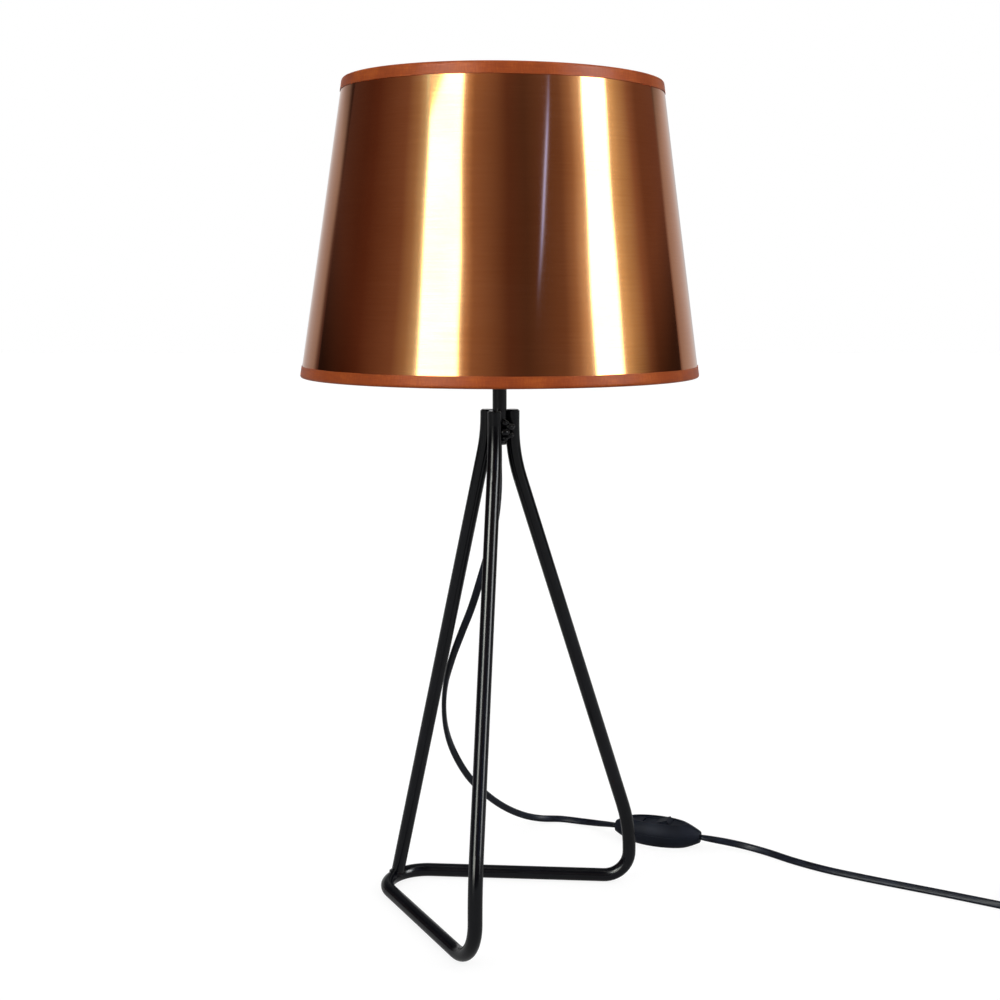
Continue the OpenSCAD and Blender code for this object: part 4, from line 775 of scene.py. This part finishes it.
# The boxes lean outwards: with height each edge moves away from the middle of the room.
swing_by, swing_start = -0.2534, 0.1164
lean = add(tree, "ShaderNodeMapRange", {
    "Value": height, "From Min": 0.205, "From Max": 0.405, "To Min": -0.1, "To Max": 0.1,
}).outputs["Result"]
swing = add(tree, "ShaderNodeMath", {
    0: bearing, 1: swing_by, 2: swing_start,
}, operation="MULTIPLY_ADD").outputs[0]
leant = add(tree, "ShaderNodeMath", {0: lean, 1: swing, 2: bearing}, operation="MULTIPLY_ADD").outputs[0]
# The left box leans a little more towards its top.
leftwards = add(tree, "ShaderNodeMapRange", {
    "Value": bearing, "From Min": -0.1, "From Max": -0.42,
}).outputs["Result"]
upwards = add(tree, "ShaderNodeMapRange", {
    "Value": height, "From Min": 0.29, "From Max": 0.395, "To Max": 0.045,
}).outputs["Result"]
leant_more = add(tree, "ShaderNodeMath", {
    0: leftwards, 1: upwards, 2: leant,
}, operation="MULTIPLY_ADD").outputs[0]
round_room = add(tree, "ShaderNodeMapRange", {
    "Value": leant_more, "From Min": -math.pi, "From Max": math.pi,
}).outputs["Result"]
room = add(tree, "ShaderNodeValToRGB", {"Fac": round_room})
# Each row is a bearing in degrees, 0 towards the camera and positive to its right, and the light
# there, where a box has box_level; a box's golden rim is the warm cloth of its edge.
box_light = 22.0
box_level = 11
room_levels = [
    (-180, 0.85, 0.85, 0.85), (-158, 0.48, 0.48, 0.48), (-139.5, 0.33, 0.33, 0.33),
    (-134, 0.09, 0.062, 0.06), (-104, 0.085, 0.045, 0.04),
    (-94, 0.1, 0.052, 0.045), (-80, 0.15, 0.1, 0.09), (-66, 0.21, 0.16, 0.15),
    (-57, 0.38, 0.4, 0.38), (-51.5, 0.64, 0.9, 0.95), (-49.2, 1.0, 2.2, 3.0), (-48.2, 11, 11, 10),
    (-25.5, 11, 11, 10), (-24.5, 1.1, 2.2, 3.0), (-22, 0.62, 0.65, 0.62), (-17, 0.31, 0.27, 0.25),
    (4, 0.108, 0.072, 0.07), (15, 0.085, 0.065, 0.066),
    (39, 0.18, 0.145, 0.14), (47, 0.36, 0.34, 0.33), (54, 0.75, 0.9, 0.95),
    (56.6, 1.0, 2.0, 2.8), (57.6, 11, 11, 11),
    (75.6, 11, 11, 11), (76.6, 1.0, 2.0, 2.8), (79, 0.9, 1.12, 1.0), (86, 0.58, 0.66, 0.56),
    (98, 0.28, 0.22, 0.2), (106, 0.17, 0.115, 0.1), (130, 0.165, 0.105, 0.09), (134, 0.36, 0.36, 0.36),
    (160, 0.6, 0.6, 0.6),
]
set_stops(room, [
    ((az + 180) / 360, (*[part / box_level for part in parts], 1.0)) for az, *parts in room_levels
])


def stops_by_height(*rows):
    """Stops for a ramp that runs with height; a row is the sine of the height angle and a share."""
    return [((z + 1) / 2, (share, share, share, 1.0)) for z, share in rows]


# The boxes stand from the floor to over head height and the backdrop ends low, so what faces up
# sees a dark ceiling.
rise = add(tree, "ShaderNodeMapRange", {"Value": height, "From Min": -1.0, "From Max": 1.0})
ahead_share = add(tree, "ShaderNodeValToRGB", {"Fac": rise.outputs["Result"]})
set_stops(ahead_share, stops_by_height(
    (-1.0, 0.05), (-0.12, 0.03), (0.0, 0.05), (0.08, 0.12), (0.13, 0.33), (0.17, 0.5), (0.39, 0.5),
    (0.45, 1.0), (0.53, 1.0), (0.62, 0.25), (0.8, 0.13), (1.0, 0.14),
))
behind_share = add(tree, "ShaderNodeValToRGB", {"Fac": rise.outputs["Result"]})
set_stops(behind_share, stops_by_height(
    (-1.0, 0.15), (-0.1, 0.5), (0.17, 0.5), (0.25, 0.15), (0.4, 0.07), (0.8, 0.13), (1.0, 0.14),
))
is_behind = add(tree, "ShaderNodeMath", {0: sideways, 1: math.radians(128)}, operation="GREATER_THAN")
share = add(tree, "ShaderNodeMix", {
    "Factor": is_behind.outputs[0], "A": ahead_share.outputs["Color"], "B": behind_share.outputs["Color"],
})
level = add(tree, "ShaderNodeMath", {0: share.outputs["Result"], 1: box_light}, operation="MULTIPLY")
# The left box's far upper corner is folded back, and only glows.
fold_slope, fold_from, fold_to, fold_top = 4.65, 2.55, 2.595, 0.43
fold = add(tree, "ShaderNodeMath", {0: height, 1: fold_slope, 2: sideways}, operation="MULTIPLY_ADD")
folded = add(tree, "ShaderNodeMapRange", {
    "Value": fold.outputs[0], "From Min": fold_from, "From Max": fold_to,
}, interpolation_type="SMOOTHSTEP")
is_left = add(tree, "ShaderNodeMath", {0: bearing, 1: 0.0}, operation="LESS_THAN").outputs[0]
is_low = add(tree, "ShaderNodeMath", {0: height, 1: fold_top}, operation="LESS_THAN").outputs[0]
left_low = add(tree, "ShaderNodeMath", {0: is_left, 1: is_low}, operation="MULTIPLY").outputs[0]
corner = add(tree, "ShaderNodeMath", {0: folded.outputs["Result"], 1: left_low}, operation="MULTIPLY")
glow = (0.95 / box_level, 1.5 / box_level, 1.7 / box_level, 1.0)
dimmed = add(tree, "ShaderNodeMixRGB", {
    "Fac": corner.outputs[0], "Color1": room.outputs["Color"], "Color2": glow,
}, blend_type="DARKEN")
room_light = add(tree, "ShaderNodeBackground", {
    "Color": dimmed.outputs["Color"], "Strength": level.outputs[0],
})
# A gap in the window's curtains makes a thin blue streak that leans a little.
streak_lean, streak_from, streak_wide = -1.65, -0.068, math.radians(1.3)
streak_colour, streak_light = (0.1, 0.26, 1.0, 1.0), 7.4
leaning = add(tree, "ShaderNodeMath", {0: height, 1: streak_lean, 2: bearing}, operation="MULTIPLY_ADD")
aside = add(tree, "ShaderNodeMath", {0: leaning.outputs[0], 1: streak_from}, operation="SUBTRACT")
off_streak = add(tree, "ShaderNodeMath", {0: aside.outputs[0]}, operation="ABSOLUTE")
across = add(tree, "ShaderNodeMapRange", {
    "Value": off_streak.outputs[0], "From Min": streak_wide, "From Max": 0.0,
}, interpolation_type="SMOOTHSTEP").outputs["Result"]
upright = add(tree, "ShaderNodeValToRGB", {"Fac": rise.outputs["Result"]})
set_stops(upright, stops_by_height(
    (0.27, 0.0), (0.295, 0.5), (0.32, 1.0), (0.355, 1.0), (0.37, 0.4), (0.395, 0.0),
))
streak = add(tree, "ShaderNodeMath", {0: across, 1: upright.outputs["Color"]}, operation="MULTIPLY")
streak_level = add(tree, "ShaderNodeMath", {0: streak.outputs[0], 1: streak_light}, operation="MULTIPLY")
window_gap = add(tree, "ShaderNodeBackground", {
    "Color": streak_colour, "Strength": streak_level.outputs[0],
})
seen_in_gloss = add(tree, "ShaderNodeAddShader", {0: room_light.outputs[0], 1: window_gap.outputs[0]})
# Only gloss sees that room. Matt surfaces get an even white, and the camera a white backdrop.
white = (1.0, 1.0, 1.0, 1.0)
even_light = add(tree, "ShaderNodeBackground", {"Color": white, "Strength": 0.8})
backdrop = add(tree, "ShaderNodeBackground", {"Color": white, "Strength": 1.0})
path = add(tree, "ShaderNodeLightPath").outputs
either = add(tree, "ShaderNodeMixShader", {
    0: path["Is Glossy Ray"], 1: even_light.outputs[0], 2: seen_in_gloss.outputs[0],
})
straight = add(tree, "ShaderNodeMath", {
    0: path["Is Camera Ray"], 1: path["Is Transmission Ray"],
}, operation="MAXIMUM")
shown = add(tree, "ShaderNodeMixShader", {
    0: straight.outputs[0], 1: either.outputs[0], 2: backdrop.outputs[0],
})
add(tree, "ShaderNodeOutputWorld", {"Surface": shown.outputs[0]})

# Two soft area lamps over the camera's shoulders give the shadows their direction.
lamp_target = Vector((0, 0, 0.25))
for name, spot, power, size in (
    ("soft_box_left", (-1.3, -1.7, 1.9), 14.0, 1.1),
    ("soft_box_right", (1.7, -1.1, 1.7), 10.0, 1.0),
):
    lamp = bpy.data.lights.new(name, "AREA")
    lamp.energy = power
    lamp.size = size
    holder = bpy.data.objects.new(name, lamp)
    holder.location = spot
    holder.rotation_euler = (lamp_target - Vector(spot)).to_track_quat("-Z", "Y").to_euler()
    holder.visible_glossy = False
    bpy.context.scene.collection.objects.link(holder)

# The floor is matt pale board; to the camera and through glass it glows up to white and keeps the
# shadow, and in gloss it glows less.
glow_straight, glow_in_gloss = 0.84, 0.22
floor_reach = 9
floor_board, tree, shader = start_material("matt_pale_board", Roughness=0.9, IOR=1.3)
shader.inputs["Base Color"].default_value = linear("#767676")
path = add(tree, "ShaderNodeLightPath").outputs
straight = add(tree, "ShaderNodeMath", {
    0: path["Is Camera Ray"], 1: path["Is Transmission Ray"],
}, operation="MAXIMUM")
in_gloss = add(tree, "ShaderNodeMath", {0: path["Is Glossy Ray"], 1: glow_in_gloss}, operation="MULTIPLY")
glow = add(tree, "ShaderNodeMath", {
    0: straight.outputs[0], 1: glow_straight, 2: in_gloss.outputs[0],
}, operation="MULTIPLY_ADD")
shader.inputs["Emission Color"].default_value = white
tree.links.new(glow.outputs[0], shader.inputs["Emission Strength"])
corners = [(x * floor_reach, y * floor_reach, 0) for x, y in ((-1, -1), (1, -1), (1, 1), (-1, 1))]
floor = make_piece("floor", corners, [(0, 1, 2, 3)], floor_board)

bpy.context.scene.view_settings.view_transform = "Standard"
